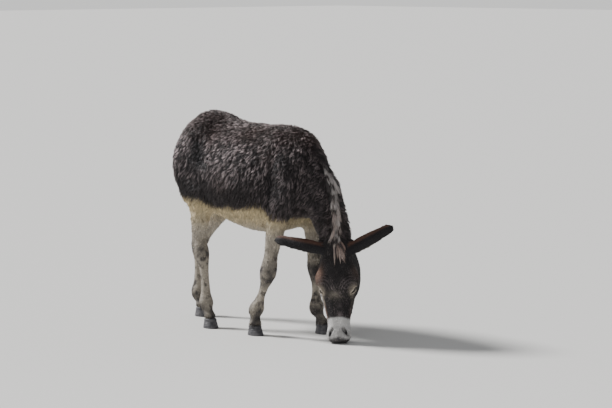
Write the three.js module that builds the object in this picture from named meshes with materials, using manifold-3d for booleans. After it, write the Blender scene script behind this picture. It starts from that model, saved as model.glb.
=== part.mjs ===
// A grazing donkey, life size: a still model made of closed solids that meet at thin cuts.
// Millimetres, +X forward, +Y to the animal's left, +Z up, with the floor at z = 0.
// The living shape is one smooth field (negative inside), built from named forms. Each node is
// the surface of that field over its own stretch of the body, cut off square where it ends.
import * as THREE from "three";
import { mergeVertices } from "three/addons/utils/BufferGeometryUtils.js";
import Module from "manifold-3d";

const wasm = await Module();
wasm.setup();

// ---------------------------------------------------------------- driving dimensions
const CUT_GAP = 0.4; // air between two nodes that meet
const BLEND = 38; // how far two forms of flesh melt into each other
const COAT_LIFT = 1.2; // a neighbour's surface is raised by this before it cuts a resting piece
const TRUNK_CELL = 62; // edge of the facets on trunk and neck
const LEG_CELL = [24.6, 24.6, 44]; // facets of a leg: around it, around it, along it
const HEAD_CELL = 24.5;
const HOOF = { top: 76, width: 72, toeSlope: 0.42, heelSlope: 0.12, sideSlope: 0.07, cleft: 9 };

// Sections of the trunk from rump to breast: place along X, height of the widest level,
// back and belly lines, and half width.
const TRUNK = [
  { x: -408, mid: 960, top: 1058, bottom: 872, wide: 72 },
  { x: -362, mid: 945, top: 1154, bottom: 792, wide: 140 },
  { x: -296, mid: 922, top: 1197, bottom: 720, wide: 187 },
  { x: -215, mid: 900, top: 1193, bottom: 676, wide: 204 },
  { x: -115, mid: 880, top: 1163, bottom: 636, wide: 211 },
  { x: 0, mid: 850, top: 1142, bottom: 588, wide: 226 },
  { x: 120, mid: 830, top: 1135, bottom: 546, wide: 240 },
  { x: 230, mid: 830, top: 1131, bottom: 532, wide: 238 },
  { x: 330, mid: 840, top: 1133, bottom: 545, wide: 216 },
  { x: 420, mid: 850, top: 1136, bottom: 565, wide: 184 },
  { x: 500, mid: 850, top: 1110, bottom: 592, wide: 154 },
  { x: 560, mid: 840, top: 1040, bottom: 645, wide: 116 },
  { x: 600, mid: 830, top: 940, bottom: 720, wide: 70 },
];

// The neck from inside the shoulders to the poll: crest point, the way its crest faces
// (turned right of forward, and raised above level), depth below the crest, half width.
const NECK = [
  { crest: [400, 0, 1100], turn: 0, raise: 86, deep: 390, wide: 88 },
  { crest: [512, 0, 1098], turn: 0, raise: 76, deep: 375, wide: 95 },
  { crest: [583, 0, 1056], turn: 3, raise: 58, deep: 340, wide: 98 },
  { crest: [648, -6, 990], turn: 7, raise: 42, deep: 305, wide: 98 },
  { crest: [694, -10, 915], turn: 12, raise: 26, deep: 275, wide: 100 },
  { crest: [724, -14, 840], turn: 16, raise: 14, deep: 255, wide: 104 },
  { crest: [750, -16, 755], turn: 23, raise: 5, deep: 240, wide: 105 },
  { crest: [760, -12, 665], turn: 33, raise: 2, deep: 224, wide: 100 },
  { crest: [760, -8, 600], turn: 42, raise: 2, deep: 212, wide: 93 },
  { crest: [756, 0, 535], turn: 50, raise: 6, deep: 204, wide: 87 },
];

// The head hangs from the poll. Its own frame runs down the face (a), to its left (l) and
// out of the forehead (f).
const HEAD = { poll: [762, 6, 518], turn: 51, lean: 10, roll: 2.2 };

const HEAD_SECTIONS = [
  { a: -34, mid: -100, top: -22, bottom: -188, wide: 74 },
  { a: 4, mid: -100, top: 0, bottom: -204, wide: 84 },
  { a: 60, mid: -95, top: 14, bottom: -224, wide: 92 },
  { a: 120, mid: -85, top: 24, bottom: -230, wide: 98 },
  { a: 180, mid: -72, top: 26, bottom: -220, wide: 101 },
  { a: 240, mid: -66, top: 18, bottom: -194, wide: 94 },
  { a: 300, mid: -62, top: 6, bottom: -164, wide: 82 },
  { a: 360, mid: -62, top: -4, bottom: -138, wide: 67 },
  { a: 412, mid: -65, top: -9, bottom: -128, wide: 59 },
  { a: 462, mid: -70, top: -14, bottom: -130, wide: 58 },
  { a: 496, mid: -76, top: -30, bottom: -122, wide: 52 },
  { a: 514, mid: -78, top: -52, bottom: -102, wide: 34 },
];

// Legs: joints from the top down, each with how far it reaches to the front, to the back and
// to the sides. The last joint is the coronet, on which the hoof stands.
const FORE_SHAPE = [
  { front: 92, back: 92, wide: 60 }, // upper arm
  { front: 66, back: 74, wide: 54 }, // elbow
  { front: 45, back: 46, wide: 43 }, // forearm
  { front: 44, back: 42, wide: 43 }, // knee
  { front: 31, back: 34, wide: 31 }, // below the knee
  { front: 26, back: 30, wide: 26 }, // cannon
  { front: 36, back: 39, wide: 36 }, // fetlock
  { front: 31, back: 31, wide: 33 }, // pastern
  { front: 40, back: 37, wide: 38 }, // coronet
];
const HIND_SHAPE = [
  { front: 112, back: 118, wide: 70 }, // thigh
  { front: 72, back: 72, wide: 52 }, // gaskin
  { front: 46, back: 54, wide: 38 }, // above the hock
  { front: 42, back: 56, wide: 38 }, // hock
  { front: 33, back: 36, wide: 31 }, // below the hock
  { front: 28, back: 31, wide: 27 }, // cannon
  { front: 35, back: 38, wide: 34 }, // fetlock
  { front: 31, back: 31, wide: 32 }, // pastern
  { front: 39, back: 36, wide: 37 }, // coronet
];
const LEGS = {
  fore_right: {
    shape: FORE_SHAPE,
    joints: [
      [492, -116, 742], [452, -126, 622], [412, -129, 460], [384, -130, 345], [366, -130, 290],
      [337, -131, 225], [295, -133, 130], [287, -135, 88], [288, -136, 54],
    ],
    toeOut: 6,
  },
  fore_left: {
    shape: FORE_SHAPE,
    joints: [
      [496, 116, 742], [468, 126, 622], [458, 138, 460], [462, 148, 350], [461, 152, 295],
      [458, 157, 230], [458, 163, 130], [484, 162, 88], [505, 160, 54],
    ],
    toeOut: 2,
  },
  hind_right: {
    shape: HIND_SHAPE,
    joints: [
      [-130, -138, 760], [-136, -148, 612], [-148, -149, 488], [-130, -148, 412], [-112, -148, 345],
      [-100, -148, 250], [-88, -149, 124], [-72, -149, 86], [-60, -148, 54],
    ],
    toeOut: 8,
  },
  hind_left: {
    shape: HIND_SHAPE,
    joints: [
      [-232, 132, 760], [-292, 132, 612], [-388, 118, 484], [-436, 108, 412], [-438, 104, 345],
      [-438, 101, 250], [-436, 98, 124], [-418, 97, 86], [-405, 96, 54],
    ],
    toeOut: 6,
  },
};

// Muscle and bone that shows on both sides: middle, half sizes, and the tilt of its long axis
// about Y. `left` moves the left one where the legs stand apart.
const MASSES = [
  { at: [462, 108, 900], size: [92, 62, 205], tilt: -22 }, // shoulder blade
  { at: [530, 104, 775], size: [84, 62, 90], tilt: 0 }, // point of the shoulder
  { at: [-215, 122, 925], size: [135, 80, 205], tilt: 22, left: [-12, 0, 0] }, // haunch
  { at: [-150, 138, 750], size: [112, 66, 130], tilt: 12, left: [-88, -4, 0] }, // thigh over the stifle
  { at: [-306, 78, 880], size: [76, 64, 160], tilt: -2 }, // buttock
  { at: [-246, 112, 752], size: [84, 50, 118], tilt: 24, left: [-34, 0, 0] }, // back of the thigh
  { at: [-96, 148, 1046], size: [64, 46, 52], tilt: 0 }, // point of the hip
];

const EYE = { a: 236, l: 74, f: -26, radius: 21 };
const SOCKET = { a: 238, l: 108, f: -40, size: [30, 24, 20] };
const BROW = { a: 180, l: 84, f: -22, size: [58, 36, 32] };
const CHEEK = { a: 158, l: 72, f: -128, size: [118, 42, 84] };
const NOSTRIL = { a: 474, l: 40, f: -42, size: [30, 20, 26] };
const CHIN = { a: 480, f: -112, size: [32, 34, 24] };

// Ears: where they leave the head (in its frame), and the way they point: out to the side,
// raised above level and carried back, in degrees.
const EAR = { length: 284, halfWidth: 41, wall: 16, fold: 0.8, droop: 6, wrapBase: 120, wrapTip: 75 };
const EAR_RINGS = 7;
const EARS = {
  ear_right: { side: -1, a: 26, l: 50, f: -30, rise: 12.5, back: -4, roll: 28 },
  ear_left: { side: 1, a: 36, l: 50, f: -30, rise: 25.5, back: -8, roll: 20 },
};

const MANE = { lift: 7, tall: 26, wide: 26 };
const FORELOCK = [
  { a: -44, l: 0, f: -6, wide: 26, tall: 20 },
  { a: 0, l: 2, f: 6, wide: 30, tall: 20 },
  { a: 45, l: 6, f: 22, wide: 24, tall: 15 },
  { a: 84, l: 8, f: 30, wide: 12, tall: 8 },
];
const TAIL = [
  { at: [-290, 0, 1030], half: 32 },
  { at: [-352, 4, 1042], half: 33 },
  { at: [-402, 14, 992], half: 31 },
  { at: [-424, 42, 912], half: 29 },
  { at: [-438, 80, 800], half: 27 },
  { at: [-450, 112, 690], half: 26 },
  { at: [-464, 132, 610], half: 37 },
  { at: [-472, 145, 540], half: 38 },
  { at: [-476, 152, 478], half: 20 },
];
const TAIL_TASSEL_Z = 690; // the tassel hangs below this height

// Boxes that hold trunk and neck, and the head (in its own frame).
const TRUNK_BOX = { low: [-530, -340, 478], high: [880, 340, 1290] };
const HEAD_BOX = { low: [-80, -160, -280], high: [560, 160, 80] };

const HIP_CUT = -60; // the barrel ends behind at this x
const CHEST_CUT = 365; // and in front at this one
const NECK_CUT = { at: [592, 0, 850], way: [1, 0, -0.03] };
const HEAD_CUT = -30; // the head is parted from the neck this far above the poll

// ---------------------------------------------------------------- small vector helpers
const V = (p) => new THREE.Vector3(...p);
const rad = THREE.MathUtils.degToRad;

/** Sections between the given ones, so that a form swells and narrows smoothly. */
function smoothStations(stations, steps) {
  const keys = ["x", "y", "z", "sx", "sy", "sz", "top", "bottom", "wide"];
  const out = [];
  const pick = (i) => stations[Math.min(Math.max(i, 0), stations.length - 1)];
  for (let i = 0; i < stations.length - 1; i++) {
    const [p0, p1, p2, p3] = [pick(i - 1), pick(i), pick(i + 1), pick(i + 2)];
    for (let j = 0; j < steps; j++) {
      const t = j / steps;
      const made = {};
      for (const k of keys) {
        const bend = 2 * p0[k] - 5 * p1[k] + 4 * p2[k] - p3[k];
        const twist = 3 * p1[k] - p0[k] - 3 * p2[k] + p3[k];
        made[k] = 0.5 * (2 * p1[k] + t * (p2[k] - p0[k] + t * (bend + t * twist)));
      }
      out.push(made);
    }
  }
  out.push({ ...stations[stations.length - 1] });
  return out;
}

// ---------------------------------------------------------------- forms of the field
/** A body swept along stations {at, side, top, bottom, wide}; `square` above 2 is boxier. */
function sweep(stations, square = 2, cap = 0.8) {
  const flat = stations.map((s) => ({
    x: s.at.x, y: s.at.y, z: s.at.z, sx: s.side.x, sy: s.side.y, sz: s.side.z,
    top: s.top, bottom: s.bottom, wide: s.wide,
  }));
  const fine = smoothStations(flat, 4);
  const spine = fine.map((s) => new THREE.Vector3(s.x, s.y, s.z));
  const along = new THREE.Vector3();
  const off = new THREE.Vector3();
  const side = new THREE.Vector3();
  const up = new THREE.Vector3();
  const mix = (a, b, t) => a + (b - a) * t;
  return (p) => {
    let best = Infinity;
    let at = 0;
    let part = 0;
    for (let i = 0; i < spine.length - 1; i++) {
      along.subVectors(spine[i + 1], spine[i]);
      off.subVectors(p, spine[i]);
      const t = Math.min(Math.max(off.dot(along) / along.lengthSq(), 0), 1);
      const d = off.addScaledVector(along, -t).lengthSq();
      if (d < best) {
        best = d;
        at = i;
        part = t;
      }
    }
    const [a, b] = [fine[at], fine[at + 1]];
    along.subVectors(spine[at + 1], spine[at]);
    off.subVectors(p, spine[at]).addScaledVector(along, -part);
    along.normalize();
    side.set(mix(a.sx, b.sx, part), mix(a.sy, b.sy, part), mix(a.sz, b.sz, part));
    side.addScaledVector(along, -side.dot(along)).normalize();
    up.crossVectors(along, side);
    const wide = mix(a.wide, b.wide, part);
    const v = off.dot(up);
    const tall = v > 0 ? mix(a.top, b.top, part) : mix(a.bottom, b.bottom, part);
    const w = off.dot(along);
    const k = Math.pow(
      Math.pow(Math.abs(off.dot(side)) / wide, square) +
        Math.pow(Math.abs(v) / tall, square) +
        Math.pow(Math.abs(w) / (cap * Math.min(wide, tall)), square),
      1 / square,
    );
    return k < 1e-6 ? -Math.min(wide, tall) : off.length() * (1 - 1 / k);
  };
}

/** An ellipsoid at `at`, turned by the quaternion `turn`. */
function ellipsoid(at, size, turn = new THREE.Quaternion()) {
  const undo = turn.clone().invert();
  const q = new THREE.Vector3();
  return (p) => {
    q.subVectors(p, at).applyQuaternion(undo);
    const k = Math.hypot(q.x / size[0], q.y / size[1], q.z / size[2]);
    return k < 1e-6 ? -Math.min(...size) : q.length() * (1 - 1 / k);
  };
}

/** Two distances melted into one over `reach`. */
function melt(a, b, reach) {
  const h = Math.max(reach - Math.abs(a - b), 0) / reach;
  return Math.min(a, b) - (h * h * reach) / 4;
}

// ---------------------------------------------------------------- the body's forms
const LATERAL = new THREE.Vector3(0, 1, 0);

function trunkForm() {
  return sweep(
    TRUNK.map((s) => ({
      at: V([s.x, 0, s.mid]), side: LATERAL, top: s.top - s.mid, bottom: s.mid - s.bottom, wide: s.wide,
    })),
    2.15,
    0.5,
  );
}

/** Unit vector turned right of forward by `turn` and raised above level by `raise` degrees. */
function heading(turn, raise) {
  const level = Math.cos(rad(raise));
  return V([level * Math.cos(rad(turn)), -level * Math.sin(rad(turn)), Math.sin(rad(raise))]);
}

function neckForm() {
  return sweep(
    NECK.map((s) => {
      const half = s.deep / 2;
      const dorsal = heading(s.turn, s.raise);
      const side = heading(s.turn - 90, 0);
      return { at: V(s.crest).addScaledVector(dorsal, -half), side, top: half, bottom: half, wide: s.wide };
    }),
    2.1,
    0.6,
  );
}

/** The head's frame as a matrix from (a, l, f) to the body's space. */
function headFrame() {
  const face = heading(HEAD.turn, 0);
  const left = heading(HEAD.turn - 90, 0);
  const down = new THREE.Vector3(0, 0, -1)
    .multiplyScalar(Math.cos(rad(HEAD.lean)) * Math.cos(rad(HEAD.roll)))
    .addScaledVector(left, Math.sin(rad(HEAD.roll)))
    .addScaledVector(face, Math.sin(rad(HEAD.lean)))
    .normalize();
  face.addScaledVector(down, -face.dot(down)).normalize();
  left.crossVectors(face, down);
  return new THREE.Matrix4().makeBasis(down, left, face).setPosition(V(HEAD.poll));
}
const HEAD_FRAME = headFrame();
const HEAD_TURN = new THREE.Quaternion().setFromRotationMatrix(HEAD_FRAME);
const onHead = (a, l, f) => new THREE.Vector3(a, l, f).applyMatrix4(HEAD_FRAME);

function headForms() {
  const left = new THREE.Vector3(0, 1, 0).applyQuaternion(HEAD_TURN);
  const skull = sweep(
    HEAD_SECTIONS.map((s) => ({
      at: onHead(s.a, 0, s.mid), side: left, top: s.top - s.mid, bottom: s.mid - s.bottom, wide: s.wide,
    })),
    2.35,
    0.45,
  );
  const lumps = [];
  for (const side of [-1, 1])
    for (const lump of [BROW, CHEEK, NOSTRIL])
      lumps.push(ellipsoid(onHead(lump.a, side * lump.l, lump.f), lump.size, HEAD_TURN));
  lumps.push(ellipsoid(onHead(CHIN.a, 0, CHIN.f), CHIN.size, HEAD_TURN));
  return { skull, lumps };
}

function legForm(leg) {
  return sweep(
    leg.joints.map((at, i) => ({
      at: V(at), side: LATERAL, top: leg.shape[i].front, bottom: leg.shape[i].back, wide: leg.shape[i].wide,
    })),
    2.1,
    0.4,
  );
}

function massForms() {
  const made = [];
  for (const m of MASSES)
    for (const side of [-1, 1]) {
      const shift = side > 0 && m.left ? m.left : [0, 0, 0];
      const at = [m.at[0] + shift[0], side * (m.at[1] + shift[1]), m.at[2] + shift[2]];
      const turn = new THREE.Quaternion().setFromAxisAngle(LATERAL, rad(m.tilt));
      made.push(ellipsoid(V(at), m.size, turn));
    }
  return made;
}

const HEAD_BLEND = 26; // the head's lumps melt in over a shorter reach than the body's
/** The pit round an eye, from which the ball looks out. */
const socketForm = (side) => ellipsoid(onHead(SOCKET.a, side * SOCKET.l, SOCKET.f), SOCKET.size, HEAD_TURN);

const sockets = { [-1]: socketForm(-1), 1: socketForm(1) };
const trunk = trunkForm();
const neck = neckForm();
const head = headForms();
const masses = massForms();
const legs = Object.values(LEGS).map(legForm);

/** Trunk and legs, without what hangs in front of them. */
function carcass(p) {
  let d = trunk(p);
  for (const form of masses) d = melt(d, form(p), BLEND);
  for (const form of legs) d = melt(d, form(p), BLEND);
  return d;
}

/** The whole animal's flesh and coat, without ears, eyes, hooves, mane and tail. */
function flesh(p) {
  const d = melt(carcass(p), neck(p), BLEND * 1.3);
  let h = head.skull(p);
  for (const form of head.lumps) h = melt(h, form(p), HEAD_BLEND);
  for (const side of [-1, 1]) h = Math.max(h, -sockets[side](p));
  return melt(d, h, BLEND);
}

// ---------------------------------------------------------------- surface of a field
const SLIDE_STEP = 0.11; // of a cell

/**
 * Closed surface of `field` over a box, its grid slid along until no edge has four facets.
 * Gives the solid, and the same one raised by COAT_LIFT to cut the pieces that rest on it.
 */
function surface(field, low, high, cell, frame) {
  for (let slide = 0; slide < 1; slide += SLIDE_STEP) {
    const start = low.map((v, axis) => v - slide * cell[axis]);
    const { points, faces } = facets(field, start, high, cell, frame);
    if (!hasOnlyPairs(faces)) continue;
    const slope = new THREE.Vector3();
    const lifted = points.map((p) => {
      slopeAt(field, p, slope);
      return p.clone().add(slope.setLength(COAT_LIFT));
    });
    return { solid: closedSolid(points, faces), raised: closedSolid(lifted, faces) };
  }
  throw new Error("no grid gives a clean surface");
}

/** The field's slope at a point. */
function slopeAt(field, p, slope) {
  const h = 0.5;
  const q = new THREE.Vector3();
  for (const axis of ["x", "y", "z"]) {
    q.copy(p)[axis] += h;
    const ahead = field(q);
    q[axis] -= 2 * h;
    slope[axis] = (ahead - field(q)) / (2 * h);
  }
}

/** Whether each edge belongs to just two facets. */
function hasOnlyPairs(faces) {
  const count = new Map();
  for (const [a, b, c] of faces)
    for (const [p, q] of [[a, b], [b, c], [c, a]]) {
      const key = Math.min(p, q) * 1e6 + Math.max(p, q);
      count.set(key, (count.get(key) || 0) + 1);
    }
  return [...count.values()].every((n) => n === 2);
}

/** Points and facets of `field` over a box of cells; `frame` turns the box's grid. */
function facets(field, low, high, cell, frame = new THREE.Matrix4()) {
  const n = [0, 1, 2].map((i) => Math.ceil((high[i] - low[i]) / cell[i]) + 1);
  const at = (i, j, k) => (k * n[1] + j) * n[0] + i;
  const values = new Float32Array(n[0] * n[1] * n[2]);
  const p = new THREE.Vector3();
  for (let k = 0; k < n[2]; k++)
    for (let j = 0; j < n[1]; j++)
      for (let i = 0; i < n[0]; i++) {
        const edge = !i || !j || !k || i === n[0] - 1 || j === n[1] - 1 || k === n[2] - 1;
        p.set(low[0] + i * cell[0], low[1] + j * cell[1], low[2] + k * cell[2]).applyMatrix4(frame);
        const v = field(p);
        values[at(i, j, k)] = edge ? Math.max(v, 0.01) : v;
      }
  const corner = [...Array(8).keys()].map((c) => [c & 1, (c >> 1) & 1, (c >> 2) & 1]);
  const edges = [];
  for (let a = 0; a < 8; a++) for (const bit of [1, 2, 4]) if (!(a & bit)) edges.push([a, a | bit]);
  const points = [];
  const pointOf = new Map();
  for (let k = 0; k < n[2] - 1; k++)
    for (let j = 0; j < n[1] - 1; j++)
      for (let i = 0; i < n[0] - 1; i++) {
        const v = corner.map(([x, y, z]) => values[at(i + x, j + y, k + z)]);
        const sum = new THREE.Vector3();
        let crossings = 0;
        for (const [a, b] of edges) {
          if (v[a] < 0 === v[b] < 0) continue;
          const t = v[a] / (v[a] - v[b]);
          const mixed = corner[a].map((c, axis) => c + (corner[b][axis] - c) * t);
          sum.add(V(mixed));
          crossings++;
        }
        if (!crossings) continue;
        sum.divideScalar(crossings);
        p.set(low[0] + (i + sum.x) * cell[0], low[1] + (j + sum.y) * cell[1], low[2] + (k + sum.z) * cell[2]);
        const inRim = !i || !j || !k || i === n[0] - 2 || j === n[1] - 2 || k === n[2] - 2;
        p.applyMatrix4(frame);
        if (!inRim) settle(p, field, Math.min(...cell) * 0.45);
        pointOf.set(at(i, j, k), points.length);
        points.push(p.clone());
      }
  return { points, faces: facesOf(values, n, at, pointOf) };
}

/** Moves a point onto the field's surface, by no more than `most`. */
function settle(p, field, most) {
  const start = p.clone();
  const slope = new THREE.Vector3();
  for (let turn = 0; turn < 3; turn++) {
    slopeAt(field, p, slope);
    if (slope.lengthSq() < 1e-4) break;
    p.addScaledVector(slope, -field(p) / slope.lengthSq());
  }
  const moved = p.clone().sub(start);
  if (moved.length() > most) p.copy(start).add(moved.setLength(most));
}

/** The two triangles of each grid edge that the surface crosses. */
function facesOf(values, n, at, pointOf) {
  const faces = [];
  const step = [[1, 0, 0], [0, 1, 0], [0, 0, 1]];
  for (let k = 0; k < n[2] - 1; k++)
    for (let j = 0; j < n[1] - 1; j++)
      for (let i = 0; i < n[0] - 1; i++)
        for (let axis = 0; axis < 3; axis++) {
          const [dx, dy, dz] = step[axis];
          const here = values[at(i, j, k)] < 0;
          const next = values[at(i + dx, j + dy, k + dz)] < 0;
          if (here === next) continue;
          const u = step[(axis + 1) % 3];
          const w = step[(axis + 2) % 3];
          const quad = [[1, 1], [0, 1], [0, 0], [1, 0]].map(([a, b]) => {
            const [x, y, z] = [0, 1, 2].map((d) => a * u[d] + b * w[d]);
            return pointOf.get(at(i - x, j - y, k - z));
          });
          if (!here) quad.reverse();
          faces.push([quad[0], quad[1], quad[2]], [quad[0], quad[2], quad[3]]);
        }
  return faces;
}

// ---------------------------------------------------------------- solids and cuts
/** A manifold solid from points and triangles. */
function closedSolid(points, faces) {
  const vertProperties = new Float32Array(points.flatMap((p) => p.toArray()));
  const triVerts = new Uint32Array(faces.flat());
  return new wasm.Manifold(new wasm.Mesh({ numProp: 3, vertProperties, triVerts }));
}

/** A box from `low` to `high`, placed by `frame`. */
function box(low, high, frame = new THREE.Matrix4()) {
  const points = [];
  for (let c = 0; c < 8; c++) {
    const corner = [c & 1, c & 2, c & 4].map((far, axis) => (far ? high[axis] : low[axis]));
    points.push(V(corner).applyMatrix4(frame));
  }
  const sides = [[0, 2, 3, 1], [4, 5, 7, 6], [0, 1, 5, 4], [2, 6, 7, 3], [0, 4, 6, 2], [1, 3, 7, 5]];
  return closedSolid(points, sides.flatMap(([a, b, c, d]) => [[a, b, c], [a, c, d]]));
}

/** Rings of points joined into a closed solid; each cap joins a ring's two halves across. */
function loft(rings) {
  const count = rings[0].length;
  const points = rings.flat();
  const faces = [];
  for (let r = 0; r < rings.length - 1; r++)
    for (let i = 0; i < count; i++) {
      const [a, b] = [r * count + i, r * count + ((i + 1) % count)];
      faces.push([a, b, b + count], [a, b + count, a + count]);
    }
  for (const [first, turned] of [[0, true], [(rings.length - 1) * count, false]])
    for (let i = 0; i < count / 2 - 1; i++) {
      const [a, b] = [first + i, first + i + 1];
      const [c, d] = [first + count - 2 - i, first + count - 1 - i];
      for (const f of [[a, b, c], [a, c, d]]) faces.push(turned ? f.reverse() : f);
    }
  return closedSolid(points, faces);
}

/** The largest single body of a solid, without the crumbs a cut may leave. */
function mainBody(solid) {
  return solid.decompose().sort((a, b) => b.volume() - a.volume())[0];
}

/** The frame whose z runs along `way` from `at`, with its y towards the animal's left. */
function frameAt(at, way) {
  const z = way.clone().normalize();
  const y = LATERAL.clone().addScaledVector(z, -z.y).normalize();
  const x = new THREE.Vector3().crossVectors(y, z);
  return new THREE.Matrix4().makeBasis(x, y, z).setPosition(at);
}

const REACH = 1700; // a cutting box reaches this far from where it is placed

/** Everything further on than a plane through `at`, with half of the cut's gap kept clear. */
function beyond(at, way) {
  return box([-REACH, -REACH, -CUT_GAP / 2], [REACH, REACH, REACH], frameAt(at, way));
}

/** Parts a solid by a plane: what lies before it and what lies beyond it, with a gap between. */
function part(solid, at, way) {
  const before = solid.subtract(beyond(at, way));
  const after = solid.subtract(beyond(at, way.clone().negate()));
  return [before, after];
}

// ---------------------------------------------------------------- nodes
const animal = new THREE.Group(); // placed at the end, so that the model stands over its origin

const COAT = {
  dark: { color: 0x3a302c, roughness: 0.95, metalness: 0 },
  pale: { color: 0xb8ab98, roughness: 0.95, metalness: 0 },
  horn: { color: 0x59606b, roughness: 0.55, metalness: 0 },
  eye: { color: 0x1a120d, roughness: 0.15, metalness: 0 },
  mane: { color: 0x6e6259, roughness: 0.9, metalness: 0 },
};

/** Adds a solid to the model as a named mesh. */
function addNode(name, solid, look) {
  const whole = mainBody(solid).getMesh();
  const geometry = new THREE.BufferGeometry();
  const positions = new Float32Array(whole.numVert * 3);
  for (let i = 0; i < whole.numVert; i++)
    positions.set(whole.vertProperties.subarray(i * whole.numProp, i * whole.numProp + 3), i * 3);
  geometry.setAttribute("position", new THREE.BufferAttribute(positions, 3));
  geometry.setIndex(new THREE.BufferAttribute(whole.triVerts, 1));
  geometry.computeVertexNormals();
  const mesh = new THREE.Mesh(geometry, new THREE.MeshStandardMaterial(look));
  mesh.name = name;
  animal.add(mesh);
}

// Where a leg is parted: a joint's number, and how far on towards the next one.
const LEG_PARTS = ["upper", "joint", "cannon", "pastern"];
const LEG_CUTS = [1.0, 2.5, 3.75, 5.6];
const SHANK_TOP = 430; // below this height the legs stand clear of everything else
const LEG_ROOM = {
  // half sizes of the room a leg takes where it leaves the trunk
  fore: { along: 106, inner: 52, outer: 140 },
  hind: { along: 150, inner: 112, outer: 140 },
};

/** Point and direction of a leg's bone at a place counted in joints. */
function onLeg(leg, where) {
  const i = Math.floor(where);
  const [a, b] = [V(leg.joints[i]), V(leg.joints[i + 1])];
  return { at: a.clone().lerp(b, where - i), way: b.sub(a).normalize() };
}

/** The room a leg takes at its first cut, drawn in by `inset`, down to `depth` below the cut. */
function legRoom(name, leg, inset, depth = 300) {
  const { at, way } = onLeg(leg, LEG_CUTS[0]);
  const room = LEG_ROOM[name.slice(0, 4)];
  const [right, left] = at.y > 0 ? [room.inner, room.outer] : [room.outer, room.inner];
  const low = [-room.along + inset, -right + inset, inset];
  return box(low, [room.along - inset, left - inset, depth], frameAt(at, way));
}

/** The leg's flesh from the coronet up to its first cut. */
function legFlesh(name, leg) {
  const xs = leg.joints.map((joint) => joint[0]);
  const y = leg.joints[4][1];
  const coronet = leg.joints[leg.joints.length - 1][2] + CUT_GAP;
  const low = [Math.min(...xs) - 150, y - 150, -60];
  const high = [Math.max(...xs) + 150, y + 150, 780];
  const lowerRoom = box([low[0], low[1], coronet], [high[0], high[1], SHANK_TOP]);
  const room = legRoom(name, leg, CUT_GAP / 2).add(lowerRoom);
  const ground = box([-REACH, -REACH, -REACH], [REACH, REACH, coronet]);
  return surface(carcass, low, high, LEG_CELL).solid.intersect(room).subtract(ground);
}

/** A hoof: a flat-soled capsule of horn, longer in the toe, with a cleft between the heels. */
function hoof(leg) {
  const [x, y, height] = leg.joints[leg.joints.length - 1];
  const turn = rad(leg.toeOut * Math.sign(y));
  const up = new THREE.Vector3(0, 0, 1);
  const around = 16;
  const levels = 3;
  const rings = [];
  for (let r = 0; r <= levels; r++) {
    const z = (r / levels) * height;
    const drop = height - z;
    const ring = [];
    for (let i = 0; i < around; i++) {
      const angle = (2 * Math.PI * (i + 0.5)) / around;
      const ahead = Math.cos(angle);
      const slope = ahead > 0 ? HOOF.toeSlope : HOOF.heelSlope;
      const reach = HOOF.top / 2 + drop * slope;
      const half = HOOF.width / 2 + drop * HOOF.sideSlope;
      const cleft = ahead < -0.9 ? HOOF.cleft : 0;
      ring.push(new THREE.Vector3(ahead * reach + cleft, Math.sin(angle) * half, z));
    }
    rings.push(ring.map((p) => p.applyAxisAngle(up, turn).add(new THREE.Vector3(x, y, 0))));
  }
  return loft(rings);
}

/** An ear: a leaf rolled about its own length, open below and behind. */
function ear(spec) {
  const root = onHead(spec.a, spec.side * spec.l, spec.f);
  const axis = (a, l, f) => new THREE.Vector3(a, l, f).applyQuaternion(HEAD_TURN);
  const out = axis(
    -Math.sin(rad(spec.rise)),
    spec.side * Math.cos(rad(spec.rise)) * Math.cos(rad(spec.back)),
    -Math.cos(rad(spec.rise)) * Math.sin(rad(spec.back)),
  );
  const back = axis(-Math.sin(rad(spec.roll)), 0, Math.cos(rad(spec.roll)));
  back.addScaledVector(out, -back.dot(out)).normalize();
  const edge = new THREE.Vector3().crossVectors(out, back);
  const half = 6; // points along the outer arc, and again along the inner one
  const rings = [];
  for (let r = 0; r <= EAR_RINGS; r++) {
    const t = r / EAR_RINGS;
    const width = EAR.halfWidth * earWidth(t);
    const open = rad(EAR.wrapBase + (EAR.wrapTip - EAR.wrapBase) * t);
    const droop = EAR.droop * t * t;
    const centre = root.clone().addScaledVector(out, t * EAR.length).addScaledVector(back, -droop);
    const wall = Math.min(EAR.wall, width * 0.6);
    const arc = (radius, i) => {
      const angle = open * ((2 * i) / (half - 1) - 1);
      return centre
        .clone()
        .addScaledVector(back, Math.cos(angle) * radius * EAR.fold)
        .addScaledVector(edge, Math.sin(angle) * radius);
    };
    const outer = [...Array(half).keys()].map((i) => arc(width, i));
    const inner = [...Array(half).keys()].map((i) => arc(width - wall, i)).reverse();
    rings.push([...outer, ...inner]);
  }
  return loft(rings);
}

/** How wide an ear is along its length, from 0 at the root to 1 at the tip. */
function earWidth(t) {
  const swell = 0.78 + 0.22 * Math.sin(Math.PI * Math.min(t / 0.8, 1));
  const tip = Math.sqrt(Math.max(1 - Math.pow(Math.max((t - 0.72) / 0.32, 0), 2.8), 0));
  return swell * tip;
}

/** A round body of small facets. */
function ball(at, radius) {
  const round = new THREE.IcosahedronGeometry(radius, 1);
  const shape = mergeVertices(round.deleteAttribute("normal").deleteAttribute("uv"));
  const xyz = shape.attributes.position;
  const points = [];
  for (let i = 0; i < xyz.count; i++) points.push(new THREE.Vector3().fromBufferAttribute(xyz, i).add(at));
  return closedSolid(points, [...shape.index.array]);
}

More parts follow.
